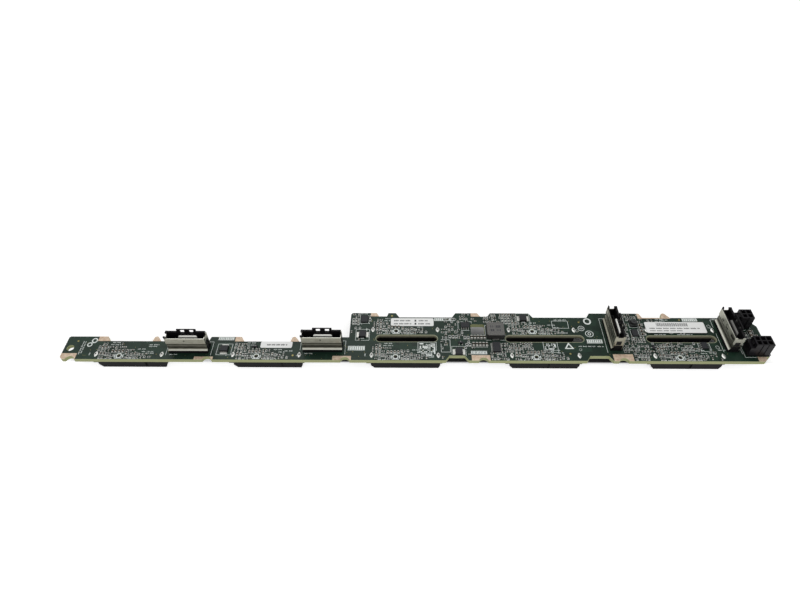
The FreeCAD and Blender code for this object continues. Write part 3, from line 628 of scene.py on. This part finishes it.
# %% Master of one metal end
def end_master():
    """Cap of 1 x 1 mm over a chip's end, its solder sloping down on the +Y side."""
    deselect()
    bpy.ops.mesh.primitive_cube_add(size=MM, location=(0, 0, 0.5 * MM))
    bpy.ops.object.transform_apply(location=True)
    bpy.ops.object.mode_set(mode="EDIT")
    bpy.ops.mesh.select_mode(type="EDGE")
    bpy.ops.mesh.select_all(action="DESELECT")
    bpy.ops.object.mode_set(mode="OBJECT")
    mesh = bpy.context.object.data
    for face in mesh.polygons:
        face.select = face.normal.y > 0.9
    bpy.ops.object.mode_set(mode="EDIT")
    bpy.ops.mesh.extrude_region_move(TRANSFORM_OT_translate={"value": (0, 0.8 * MM, 0)})
    bpy.ops.object.mode_set(mode="OBJECT")
    for vertex in mesh.vertices:
        if vertex.co.y > 0.9 * MM and vertex.co.z > 0.5 * MM:
            vertex.co.z = 0.12 * MM
    for edge in mesh.edges:
        a, b = (mesh.vertices[i].co for i in edge.vertices)
        edge.select = a.z > 0.9 * MM and b.z > 0.9 * MM
    bpy.ops.object.mode_set(mode="EDIT")
    bpy.ops.mesh.bevel(offset=0.1 * MM, segments=1)
    bpy.ops.object.mode_set(mode="OBJECT")
    return bpy.context.object


END_SHARE = 0.18        # part of a chip's length under each cap
WRAP = 0.06             # metal thickness round the block


def end_places(boxes):
    """Places of the caps: centre, width, length, turn and height, in board mm."""
    places = []
    for low, high in boxes:
        size = (high - low) / MM
        x = (low.x + high.x) / 2 / MM - board_low.x / MM - NOTCH_INSET
        y = (low.y + high.y) / 2 / MM - board_low.y / MM
        along_x = size.x > size.y
        length, width = (size.x, size.y) if along_x else (size.y, size.x)
        reach = length / 2 - length * END_SHARE / 2 + WRAP / 2
        for side in (0, 1):
            turn = (math.pi if side else 0.0) - (math.pi / 2 if along_x else 0.0)
            cx = x - math.sin(turn) * reach
            cy = y + math.cos(turn) * reach
            places.append((cx, cy, width + 2 * WRAP, length * END_SHARE + WRAP, turn, size.z + WRAP))
    return places


# %% [markdown]
# ## Keeping clear
# Printed bars, vias and the smallest parts never cross a part, a hole or the board's outline. A mark
# is tested before it is stamped: its corners are dropped on the board from above, and its rectangle
# is compared with those of the parts that are already there.

# %% Rectangles already taken, and the test
MOUNTED = ("clamp_diodes", "clamp_diode_leads", "transistors", "transistor_leads", "gate_driver",
           "gate_driver_leads", "logic_chip", "logic_chip_leads", "memory_chip", "memory_chip_leads",
           "hot_swap_chip", "regulator_chip", "power_inductor", "power_inductor_terminals",
           "small_choke", "receptacle_solder_joints", "part_label", "revision_label",
           "barcode_label", "power_header_6way", "power_header_4way", "grounding_pads")
SOCKETS = ["data_socket_housing_%d" % number for number in range(1, 5)]


def rectangle(low, high, grow=0.0):
    """Rectangle of a box in board mm, grown all round."""
    x0 = (low.x - board_low.x) / MM - NOTCH_INSET
    x1 = (high.x - board_low.x) / MM - NOTCH_INSET
    y0 = (low.y - board_low.y) / MM
    y1 = (high.y - board_low.y) / MM
    return x0 - grow, y0 - grow, x1 + grow, y1 + grow


mounted = {node: solids_of(node) for node in MOUNTED}
taken = [rectangle(*box) for boxes in mounted.values() for box in boxes]
taken += [rectangle(*box) for boxes in chips.values() for box in boxes]
taken += [rectangle(*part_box(socket)) for socket in SOCKETS]
taken += [(x - 1.3, 1.3 + y, x + 1.3, 3.9 + y) for x, y in PEGS]
bare_board = frame["nodes"]["circuit_board"]


def on_board(x, y):
    hit, place, _, _ = bare_board.ray_cast(spot(x, y, 5), Vector((0, 0, -1)))
    return hit and place.z > TOP - 0.1 * MM


def clear(x, y, width, depth, gap=0.12):
    x0, y0 = x - width / 2 - gap, y - depth / 2 - gap
    x1, y1 = x + width / 2 + gap, y + depth / 2 + gap
    if any(x0 < b[2] and x1 > b[0] and y0 < b[3] and y1 > b[1] for b in taken):
        return False
    return all(on_board(*corner) for corner in ((x0, y0), (x1, y0), (x0, y1), (x1, y1)))


print("taken rectangles:", len(taken))

# %% [markdown]
# ## The smallest parts
# Between the parts that CAD holds there are hundreds of still smaller ones, 1.1 mm long. Behind
# each receptacle they follow one pattern. In the crowded fields beside the sockets and the power
# inductor they fill a loose grid. A seeded draw leaves gaps and turns some, the same on each run.

# %% Places of the smallest parts
import random

draw = random.Random(11)
TINY = (1.1, 0.65, 0.4)       # length, width, height

# right of the peg and behind the receptacle's front, in mm
BESIDE_PEG = ((-10.9, 1.0), (-9.0, 1.0), (-10.9, 6.2), (-9.0, 6.2), (-10.9, 10.9), (-9.0, 10.9),
              (-12.9, 4.4), (-12.9, 6.6), (-7.0, 6.3), (-7.4, 8.6), (-5.4, 8.6), (-3.2, 8.4),
              (3.6, 1.2), (9.2, 1.4), (10.9, 1.3), (6.0, 3.9), (7.4, 4.0), (10.8, 3.6), (13.0, 1.3),
              (14.8, 1.8), (15.4, 3.6), (17.4, 1.7), (-3.7, 1.0), (-5.6, 1.1), (3.4, 6.6),
              (5.2, 6.4), (7.0, 6.6), (-12.9, 8.8))

# crowded fields: left, front, right, back, step along X, step along Y, share that is filled
FIELDS = ((159.2, 26.8, 163.2, 35.0, 1.5, 1.9, 0.8), (158.5, 15.0, 171.5, 26.5, 2.3, 2.9, 0.35),
          (211.5, 16.6, 223.5, 31.0, 1.9, 2.0, 0.5), (211.0, 2.0, 229.5, 16.0, 2.2, 2.3, 0.35),
          (222.5, 29.2, 232.0, 35.0, 1.7, 1.9, 0.6), (236.5, 27.0, 262.5, 35.2, 1.55, 1.75, 0.85),
          (246.5, 20.5, 252.5, 28.0, 1.6, 1.8, 0.8), (246.0, 1.0, 262.0, 12.6, 1.6, 1.85, 0.8),
          (312.0, 14.0, 330.0, 34.5, 1.6, 1.85, 0.85), (314.0, 1.2, 332.0, 14.2, 1.65, 1.9, 0.8),
          (238.8, 1.2, 245.6, 6.8, 1.6, 1.85, 0.8), (332.0, 6.8, 358.5, 13.2, 1.8, 1.95, 0.65),
          (361.0, 1.4, 368.0, 13.0, 2.4, 2.5, 0.3), (383.0, 11.6, 391.5, 23.0, 1.6, 1.8, 0.6),
          (25.0, 6.6, 34.0, 12.2, 2.1, 2.2, 0.5), (104.5, 5.5, 113.0, 8.2, 1.9, 2.0, 0.5),
          (93.0, 2.4, 98.5, 12.5, 1.8, 2.2, 0.5))


def tiny_box(x, y, along_x):
    length, width, height = TINY
    wide, deep = (length, width) if along_x else (width, length)
    return spot(x - wide / 2, y - deep / 2), spot(x + wide / 2, y + deep / 2, height)


def add_tiny(x, y, along_x, boxes):
    wide, deep = (1.35, 0.85) if along_x else (0.85, 1.35)
    if clear(x, y, wide, deep):
        boxes.append(tiny_box(x, y, along_x))
        taken.append(rectangle(*boxes[-1], grow=0.1))


tiny = []
for peg_x, row in PEGS:
    for u, v in BESIDE_PEG:
        add_tiny(peg_x + u, row + v, draw.random() < 0.25, tiny)
for left, front, right, back, step_x, step_y, share in FIELDS:
    for i in range(int((right - left) / step_x) + 1):
        for j in range(int((back - front) / step_y) + 1):
            x = left + i * step_x + draw.uniform(-0.1, 0.1)
            y = front + j * step_y + draw.uniform(-0.1, 0.1)
            along_x = draw.random() < 0.4
            if draw.random() < share:
                add_tiny(x, y, along_x, tiny)
print("smallest parts:", len(tiny))


# %% Bodies of the smallest parts, and the ends of all chips
def block_master():
    """Ceramic block of 1 mm with worn edges."""
    deselect()
    bpy.ops.mesh.primitive_cube_add(size=MM, location=(0, 0, 0.5 * MM))
    bpy.ops.object.transform_apply(location=True)
    bpy.ops.object.mode_set(mode="EDIT")
    bpy.ops.mesh.select_all(action="SELECT")
    bpy.ops.mesh.bevel(offset=0.08 * MM, segments=1)
    bpy.ops.object.mode_set(mode="OBJECT")
    return bpy.context.object


def body_places(boxes):
    places = []
    for low, high in boxes:
        x0, y0, x1, y1 = rectangle(low, high)
        places.append(((x0 + x1) / 2, (y0 + y1) / 2, x1 - x0, y1 - y0, 0, (high.z - low.z) / MM))
    return places


block = block_master()
cap = end_master()
black_ones = [box for i, box in enumerate(tiny) if i % 3 != 1]
tan_ones = [box for i, box in enumerate(tiny) if i % 3 == 1]
stamp(block, "tiny_resistors", body_places(black_ones), resistor_black)
stamp(block, "tiny_capacitors", body_places(tan_ones), tan_ceramic)
every_chip = [box for boxes in chips.values() for box in boxes] + tiny
chip_ends = stamp(cap, "chip_ends", end_places(every_chip), tinned_lead)
print("chip ends:", len(chip_ends.data.polygons), "faces")

# %% [markdown]
# ## Solder at the receptacles
# Each receptacle is held by a pin at both ends, which comes up through the board and is soldered
# there. CAD gives a plain pointed mound. Real solder wets the pad and climbs the pin in a hollow
# curve, so a diamond with rounded corners is drawn up ring by ring, each ring smaller, and sinks
# again where the pin ends. The piece stands for the CAD mounds.


# %% Solder fillets
def fillet_master(rings):
    """Diamond with rounded corners, drawn up ring by ring: each ring is (radius, height)."""
    deselect()
    radius, height = rings[0]
    bpy.ops.mesh.primitive_circle_add(vertices=4, radius=radius * MM, fill_type="NGON")
    bpy.ops.object.mode_set(mode="EDIT")
    bpy.ops.mesh.select_all(action="SELECT")
    bpy.ops.mesh.bevel(offset=radius * 0.45 * MM, segments=3, affect="VERTICES")
    bpy.ops.mesh.select_all(action="SELECT")
    for next_radius, next_height in rings[1:]:
        bpy.ops.mesh.extrude_region_move(
            TRANSFORM_OT_translate={"value": (0, 0, (next_height - height) * MM)})
        share = next_radius / radius
        bpy.ops.transform.resize(value=(share, share, 1), center_override=(0, 0, 0))
        radius, height = next_radius, next_height
    return closed_master()


JOINT_RINGS = ((1.3, 0.0), (1.1, 0.08), (0.84, 0.2), (0.66, 0.36), (0.54, 0.46), (0.46, 0.5),
               (0.4, 0.46), (0.36, 0.05))
JOINT_STRETCH = 1.8
joint = fillet_master(JOINT_RINGS)
JOINTS = []
for low, high in mounted["receptacle_solder_joints"]:
    x0, y0, x1, y1 = rectangle(low, high)
    JOINTS.append(((x0 + x1) / 2, (y0 + y1) / 2))
fillets = stamp(joint, "solder_fillets", [(x, y, 1, JOINT_STRETCH, 0) for x, y in JOINTS],
                solder, soft=True)
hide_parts("receptacle_solder_joints")
print("solder fillets:", len(JOINTS))

# %% [markdown]
# ## Pads under the leads
# Every lead stands on a tinned pad that reaches a little past both its ends. The pads come from the
# boxes of the leads, grown along their longer side, and are stamped as one thin layer.

# %% Lead pads
LEADED = (("clamp_diode_leads", 0.2), ("transistor_leads", 0.15), ("gate_driver_leads", 0.2),
          ("logic_chip_leads", 0.1), ("memory_chip_leads", 0.15), ("power_inductor_terminals", 0.3))
pad = mark_master(0.03)
pad_places = []
for node, grow in LEADED:
    for low, high in mounted[node]:
        x0, y0, x1, y1 = rectangle(low, high)
        wide = x1 - x0 + (2 * grow if x1 - x0 > y1 - y0 else 0)
        deep = y1 - y0 + (2 * grow if y1 - y0 >= x1 - x0 else 0)
        pad_places.append(((x0 + x1) / 2, (y0 + y1) / 2, wide, deep, 0))
stamp(pad, "lead_pads", pad_places, tinned_lead)
print("lead pads:", len(pad_places))

# %% [markdown]
# ## The print
# White ink marks where parts go: brackets round chips, outlines of sockets and headers, rings
# round pegs, strips of blocks, and rows of short ticks where a board carries its reference marks.
# All of it is plain shapes. It is one thin layer a hair above the lacquer.

# %% Brackets round the chips
silk_bars = []


def bar(x, y, width, depth):
    """A printed bar in steps of about 1.5 mm, each kept only where the board is clear."""
    steps = max(1, round(max(width, depth) / 1.5))
    along_x = width > depth
    wide, deep = (width / steps, depth) if along_x else (width, depth / steps)
    for i in range(steps):
        shift = (i + 0.5) / steps - 0.5
        place = (x + shift * width, y) if along_x else (x, y + shift * depth)
        if clear(*place, wide, deep, gap=0.0):
            silk_bars.append((*place, wide, deep, 0))


def outline(x0, y0, x1, y1, line=0.2):
    for one in frame_bars(x0, y0, x1, y1, line):
        bar(*one)


for node in ("lower_row_capacitors", "upper_row_capacitors", "chip_resistors", "board_capacitors"):
    for low, high in chips[node]:
        outline(*rectangle(low, high, 0.3), line=0.16)
for low, high in tiny[::2]:
    outline(*rectangle(low, high, 0.24), line=0.14)
print("bracket bars:", len(silk_bars))

# %% Outlines of the larger parts and of the sockets' sides and backs, and printed boxes
for node, grow in (("hot_swap_chip", 0.5), ("regulator_chip", 0.5), ("small_choke", 0.4),
                   ("power_inductor", 0.6), ("power_header_6way", 0.9), ("power_header_4way", 0.9),
                   ("gate_driver", 1.5), ("memory_chip", 1.5), ("clamp_diodes", 1.9)):
    for low, high in [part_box(node)] if node.startswith("power") else mounted[node]:
        outline(*rectangle(low, high, grow))
for socket in SOCKETS:
    for one in frame_bars(*rectangle(*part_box(socket), grow=1.5), line=0.2)[1:]:
        bar(*one)

PRINTED_BOXES = ((197.2, 2.2, 207.6, 13.2), (268.5, 5.9, 276.5, 13.5), (210.4, 6.0, 215.6, 15.1),
                 (275.8, 24.0, 285.1, 29.6))
for box in PRINTED_BOXES:
    outline(*box, line=0.22)
print("bars with the outlines:", len(silk_bars))

# %% Front marks of the diodes, first-pin dots of the chips, rails beside the filter capacitors
for low, high in mounted["clamp_diodes"]:
    x0, y0, x1, y1 = rectangle(low, high)
    bar((x0 + x1) / 2, y0 - 0.45, (x1 - x0) * 0.5, 0.5)
for node in ("gate_driver", "logic_chip", "memory_chip", "hot_swap_chip", "regulator_chip"):
    x0, y0, x1, y1 = rectangle(*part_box(node))
    for dot_x, dot_y in ((x0 - 0.7, y0 - 0.5), (x0 + 0.4, y0 - 0.8), (x1 + 0.8, y0 - 0.4)):
        bar(dot_x, dot_y, 0.55, 0.55)
x0, y0, x1, y1 = rectangle(*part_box("filter_capacitors"))
for rail_y in (y0 - 0.45, y1 + 0.45):
    bar((x0 + x1) / 2, rail_y, x1 - x0, 0.22)
print("bars with the part marks:", len(silk_bars))


# %% Rows of ticks and strips of blocks
def ticks(x, y, count, upright=False, height=0.75, pitch=0.52):
    """Short marks of uneven height in a row; every fifth place stays empty."""
    for i in range(count):
        if i % 5 == 4:
            continue
        tall = height * (0.65 + 0.35 * ((i * 7) % 3) / 2)
        if upright:
            bar(x, y + i * pitch, tall, 0.26)
        else:
            bar(x + i * pitch, y, 0.26, tall)


def strip(x0, y0, x1, y1, blocks):
    """Strip of blocks between two rails."""
    rail = 0.34
    step = (x1 - x0) / blocks
    for y in (y0, y1):
        bar((x0 + x1) / 2, y, x1 - x0, rail)
    for i in range(blocks):
        gap = 0.2 if i % 3 else 0.34
        bar(x0 + (i + 0.5) * step, (y0 + y1) / 2, step - gap, y1 - y0 - rail - 0.2)


STRIPS = ((81.7, 14.4, 91.0, 16.3, 9), (157.2, 7.2, 167.0, 10.0, 8),
          (206.8, 29.7, 219.0, 31.6, 11), (293.6, 12.9, 302.6, 15.4, 8),
          (352.2, 29.7, 361.2, 31.8, 8), (227.0, 4.7, 236.2, 6.7, 11))
for place in STRIPS:
    strip(*place)

# x, y, count, and whether the row runs towards the back
TICK_ROWS = ((3.9, 3.6, 20, True), (5.1, 4.4, 17, True), (42.5, 4.4, 10, False),
             (42.5, 5.5, 8, False), (43.0, 9.4, 9, False), (43.0, 10.6, 11, False),
             (121.5, 6.4, 9, False), (128.6, 3.0, 6, False), (56.2, 3.6, 9, False),
             (133.0, 4.6, 10, False), (288.5, 10.4, 9, False), (293.8, 10.4, 8, False),
             (299.2, 10.3, 7, False), (277.4, 30.4, 14, False), (279.4, 18.6, 9, False),
             (279.4, 20.4, 9, False), (198.6, 14.3, 8, False), (305.6, 17.0, 22, True),
             (340.0, 30.6, 8, False), (370.2, 31.5, 9, False), (226.0, 34.4, 9, False),
             (200.0, 30.6, 8, False), (163.0, 35.1, 9, False), (262.5, 28.0, 8, False),
             (262.5, 26.2, 8, False), (366.0, 8.0, 8, False), (380.6, 12.2, 6, False))
for row in TICK_ROWS:
    ticks(*row)
for peg_x, row in PEGS:
    ticks(peg_x + 3.2, row + 0.45, 17)
    ticks(peg_x - 9.8, row + 0.4, 13)
    ticks(peg_x - 17.2, row + 3.0, 4, True)
    ticks(peg_x + 12.4, row + 5.6, 7)
    ticks(peg_x - 6.9, row + 10.6, 11)
    ticks(peg_x - 6.4, row + 12.2, 9)
    ticks(peg_x + 9.5, row + 7.4, 9)
    for side in (-2.3, 2.3):
        bar(peg_x + side, row + 2.4, 0.5, 2.2)
    bar(peg_x, row + 0.8, 4.2, 0.5)
print("silk bars:", len(silk_bars))

# %% Shapes inside the printed boxes
for x, y, width, depth in ((199.2, 12.0, 2.2, 0.9), (205.6, 11.0, 2.4, 2.4), (206.6, 7.4, 0.8, 5.6),
                           (199.0, 3.6, 1.4, 1.6), (200.4, 5.2, 2.4, 1.0), (203.4, 3.4, 3.4, 0.7),
                           (198.6, 9.2, 0.8, 2.6), (272.6, 8.2, 3.0, 1.5), (271.4, 11.0, 1.8, 0.9),
                           (275.0, 11.2, 1.0, 1.6), (270.0, 7.0, 0.9, 1.2), (201.2, 9.8, 2.8, 1.8)):
    bar(x, y, width, depth)
GRID_X, GRID_Y = 0.95, 1.05     # steps of the loose grid of blocks in the first two boxes
for left, front, right, back in PRINTED_BOXES[:2]:
    for i in range(int((right - left - 1.2) / GRID_X)):
        for j in range(int((back - front - 1.0) / GRID_Y)):
            if draw.random() < 0.62 and (i > 2 or j < 6):
                bar(left + 1.0 + i * GRID_X, front + 0.9 + j * GRID_Y, draw.uniform(0.5, 0.85), 0.6)

ink_mark = mark_master(0.02)
stamp(ink_mark, "silk_marks", silk_bars, silk)
print("bars printed:", len(silk_bars))

# %% Rings round pegs, and plain signs of rings and a triangle
ring = ring_master(1.75, 1.2, 0.02)
rings = [(x, y + 2.6, 1, 1, 0) for x, y in PEGS]
stamp(ring, "peg_rings", rings, silk)

fine_ring = ring_master(1.0, 0.84, 0.02, sides=20)
signs = [(292.2, 23.9, 1.9, 1.9, 0), (296.2, 19.8, 2.4, 2.4, 0),
          (289.5, 22.0, 0.9, 0.9, 0), (289.0, 8.0, 0.8, 0.8, 0), (366.2, 25.6, 1.0, 1.3, 0),
          (366.2, 10.0, 1.0, 1.3, 0), (219.6, 21.4, 1.0, 1.0, 0), (363.2, 6.0, 0.9, 0.9, 0)]
stamp(fine_ring, "printed_signs", signs, silk)

bold_ring = ring_master(1.0, 0.62, 0.02, sides=20)
bold_signs = [(9.9, 13.6, 1.7, 1.9, 0), (8.0, 10.6, 1.5, 1.6, 0), (296.7, 29.4, 2.3, 2.5, 0),
              (296.2, 19.8, 1.0, 1.2, 0), (292.2, 23.9, 0.9, 0.6, 0)]
stamp(bold_ring, "bold_signs", bold_signs, silk)

delta = ring_master(3.1, 1.7, 0.02, sides=3)
stamp(delta, "printed_delta", [(282.9, 10.1, 1, 1, 0)], silk)
print("rings:", len(rings), "signs:", len(signs) + len(bold_signs) + 1)

# %% [markdown]
# ## Vias, fiducials and pin ends
# Plated vias shine gold where the lacquer leaves them open, and round fiducials of bare copper
# help the assembly machine find the board. Both are discs with a raised rim, and so are the dark
# ends of the receptacles' pins, which stand in the dips of the solder.


# %% Gold dots
def dot_master(radius, thickness, sides):
    """Disc with a shallow dimple in the middle."""
    deselect()
    bpy.ops.mesh.primitive_circle_add(vertices=sides, radius=radius * MM, fill_type="NGON")
    bpy.ops.object.mode_set(mode="EDIT")
    raise_all(thickness)
    bpy.ops.mesh.inset(thickness=radius * 0.5 * MM, depth=-thickness * 0.6 * MM)
    return closed_master()


via = dot_master(0.2, 0.03, 8)
via_places = []
while len(via_places) < 110:
    x, y = draw.uniform(2, 390), draw.uniform(1, 35)
    if clear(x, y, 0.5, 0.5, gap=0.1):
        via_places.append((x, y, 1, 1, 0))
stamp(via, "vias", via_places, gold_via)

fiducial = dot_master(0.55, 0.03, 16)
FIDUCIALS = ((0.4, 13.2), (126.4, 3.2), (291.6, 28.7), (282.8, 5.0), (181.8, 33.4), (350.7, 30.6))
stamp(fiducial, "fiducials", [(x, y, 1, 1, 0) for x, y in FIDUCIALS], gold_via)

pin_end = dot_master(0.36, 0.48, 10)
stamp(pin_end, "receptacle_pin_ends", [(x, y, 1, 1.5, 0) for x, y in JOINTS], pin_tin)
print("vias:", len(via_places))

# %% [markdown]
# ## Printed labels
# Three paper labels carry print: bars of uneven width, rows of short dashes and a few squares.
# The places run from each label's own box, so they stay on the paper. The power inductor has a few
# such marks on its top too.


# %% Bars, dashes and squares on a label
def label_print(node, name, rows):
    """rows: (left, low, right, high as shares of the label, marks, kind of row)."""
    x0, y0, x1, y1 = rectangle(*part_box(node))
    rise = (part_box(node)[1].z - TOP) / MM
    master = mark_master(0.01, rise)
    places = []
    for left, low, right, high, marks, kind in rows:
        step = (right - left) * (x1 - x0) / marks
        y = y0 + (low + high) / 2 * (y1 - y0)
        depth = (high - low) * (y1 - y0)
        for i in range(marks):
            width = step * {"bars": (0.45, 0.75, 0.3)[i * 5 % 3], "dashes": 0.72, "squares": 0.8}[kind]
            if kind == "dashes" and i % 6 == 5:
                continue
            x = x0 + left * (x1 - x0) + (i + 0.5) * step
            tall = depth * (0.8 if kind == "dashes" and i % 3 == 1 else 1.0)
            places.append((x, y, width, tall, 0))
    piece = stamp(master, name, places, print_ink)
    drop(master)
    return piece


label_print("barcode_label", "barcode_print",
            ((0.19, 0.6, 0.72, 0.9, 46, "bars"), (0.06, 0.36, 0.9, 0.46, 44, "dashes"),
             (0.06, 0.14, 0.62, 0.23, 30, "dashes")))
label_print("part_label", "part_print",
            ((0.07, 0.6, 0.48, 0.76, 18, "dashes"), (0.55, 0.56, 0.6, 0.8, 1, "squares"),
             (0.65, 0.6, 0.86, 0.76, 9, "dashes"), (0.07, 0.2, 0.48, 0.36, 20, "dashes"),
             (0.55, 0.16, 0.6, 0.4, 1, "squares"), (0.64, 0.2, 0.92, 0.36, 10, "dashes")))
label_print("revision_label", "revision_print", ((0.2, 0.36, 0.84, 0.6, 26, "dashes"),))
label_print("power_inductor", "inductor_print",
            ((0.18, 0.56, 0.4, 0.74, 2, "bars"), (0.52, 0.56, 0.8, 0.74, 3, "squares"),
             (0.2, 0.3, 0.42, 0.46, 2, "squares"), (0.54, 0.3, 0.8, 0.44, 3, "bars")))

# %% [markdown]
# ## The stage
# The board lies on a plain white table. The table reflects as a pale floor, keeps a faint shadow
# and carries the white background. Little light gets into the low gap under the board, and a shadow
# is painted on the table there; in front of the board a raised glow, a painted light, washes the
# shadow out. The world is an even soft light, with a broad lamp above and a smaller one in front,
# so that a colour shows about as it is written.


# %% Floor and world
def white_where_seen(f, weight):
    """1 where the camera, a reflection or a see-through part looks at the surface."""
    path = f.add("LightPath").socket.node.outputs
    seen = Term(path["Is Camera Ray"]) + Term(path["Is Glossy Ray"]) + Term(path["Is Transmission Ray"])
    return seen.at_most(1.0) * weight


def floor_finish():
    """White table with a painted shadow in the narrow gap under the board, and a raised glow in front
    of it, a painted light that washes the shadow out there; in mm.
    """
    f = Finish("white_table")
    x, y = (f.axis(name) * (1 / MM) for name in "XY")
    open_front = f.levels(y, -10.9, -12.1)
    under_wide_part = f.levels(x, -34.0, -31.0) * f.levels(y, 19.0, 17.0)
    under_front_part = f.levels(y, -1.0, -3.0)
    from_end_to_end = f.levels(x, -100.0, -90.0) * f.levels(x, 190.0, 187.0)
    # Painted shadow: the gap under the board is coloured dark, darker deeper under the board.
    gap = f.levels(y, -11.7, -10.5) * under_wide_part.at_least(under_front_part) * from_end_to_end
    depth = f.levels(y, -7.0, -8.5) * 0.47 + 0.5
    colour = f.blend(gap * depth, (0.93, 0.93, 0.93, 1), screen(20, 20, 21))
    f.wear(Base_Color=colour, Roughness=0.9, Emission_Color=(1, 1, 1, 1))
    camera_ray = Term(f.add("LightPath").socket.node.outputs["Is Camera Ray"])
    # Painted light: the camera sees extra glow in front of the board, which washes out its shadow
    # there, and none in the gap, where the painted shadow stays.
    glow = white_where_seen(f, 0.3) * (1 - gap) + camera_ray * open_front * 0.4
    feed(f.shader.inputs["Emission Strength"], glow)
    return f.material


deselect()
bpy.ops.mesh.primitive_plane_add(size=30.0, location=(0, 0, -0.02 * MM))
floor = bpy.context.object
floor.name = "table"
floor.data.materials.append(floor_finish())

world = bpy.data.worlds.new("even_light")
bpy.context.scene.world = world
world.use_nodes = True
background = world.node_tree.nodes["Background"]
background.inputs["Color"].default_value = (1, 1, 1, 1)
background.inputs["Strength"].default_value = 0.61


# %% Lamps
def lamp(name, place, aim, size, power):
    deselect()
    bpy.ops.object.light_add(type="AREA", location=place)
    light = bpy.context.object
    light.name = name
    light.data.size = size
    light.data.energy = power
    light.rotation_euler = (Vector(aim) - Vector(place)).to_track_quat("-Z", "Y").to_euler()
    return light


lamp("ceiling_panel", (-0.25, 0.55, 1.1), (0, 0, 0), 0.9, 4.7)
lamp("front_panel", (0.5, -0.9, 0.9), (0, 0, 0), 0.6, 2.0)
print("stage set")

# %% [markdown]
# ## The camera
# The camera is held by hand in front and above, close to the board, with a wide lens turned a
# little to the left. Its place and turns are given from the middle of the board's box.

# %% Camera place, lens and turns
CAMERA_PLACE = (0.15, -231.05, 282.76)    # mm from the frame's origin
LOOK_DOWN = 46.36                         # degrees
LOOK_LEFT = 1.70
TILT = 1.13

bpy.ops.object.camera_add()
camera = bpy.context.object
turn = (Matrix.Rotation(math.radians(LOOK_LEFT), 4, "Z")
        @ Matrix.Rotation(math.radians(90 - LOOK_DOWN), 4, "X")
        @ Matrix.Rotation(math.radians(-TILT), 4, "Z"))
camera.matrix_world = Matrix.Translation(Vector(CAMERA_PLACE) * MM) @ turn
camera.data.lens = 27.71
camera.data.sensor_width = 36.0
camera.data.clip_start = 0.01
bpy.context.scene.camera = camera
bpy.context.scene.view_settings.view_transform = "Standard"
print("camera at", [round(v, 3) for v in camera.location])

# %% Clear away the masters
for master in (cap, block, joint, pad, ink_mark, ring, fine_ring, bold_ring, delta, via, fiducial,
               pin_end):
    drop(master)

import json
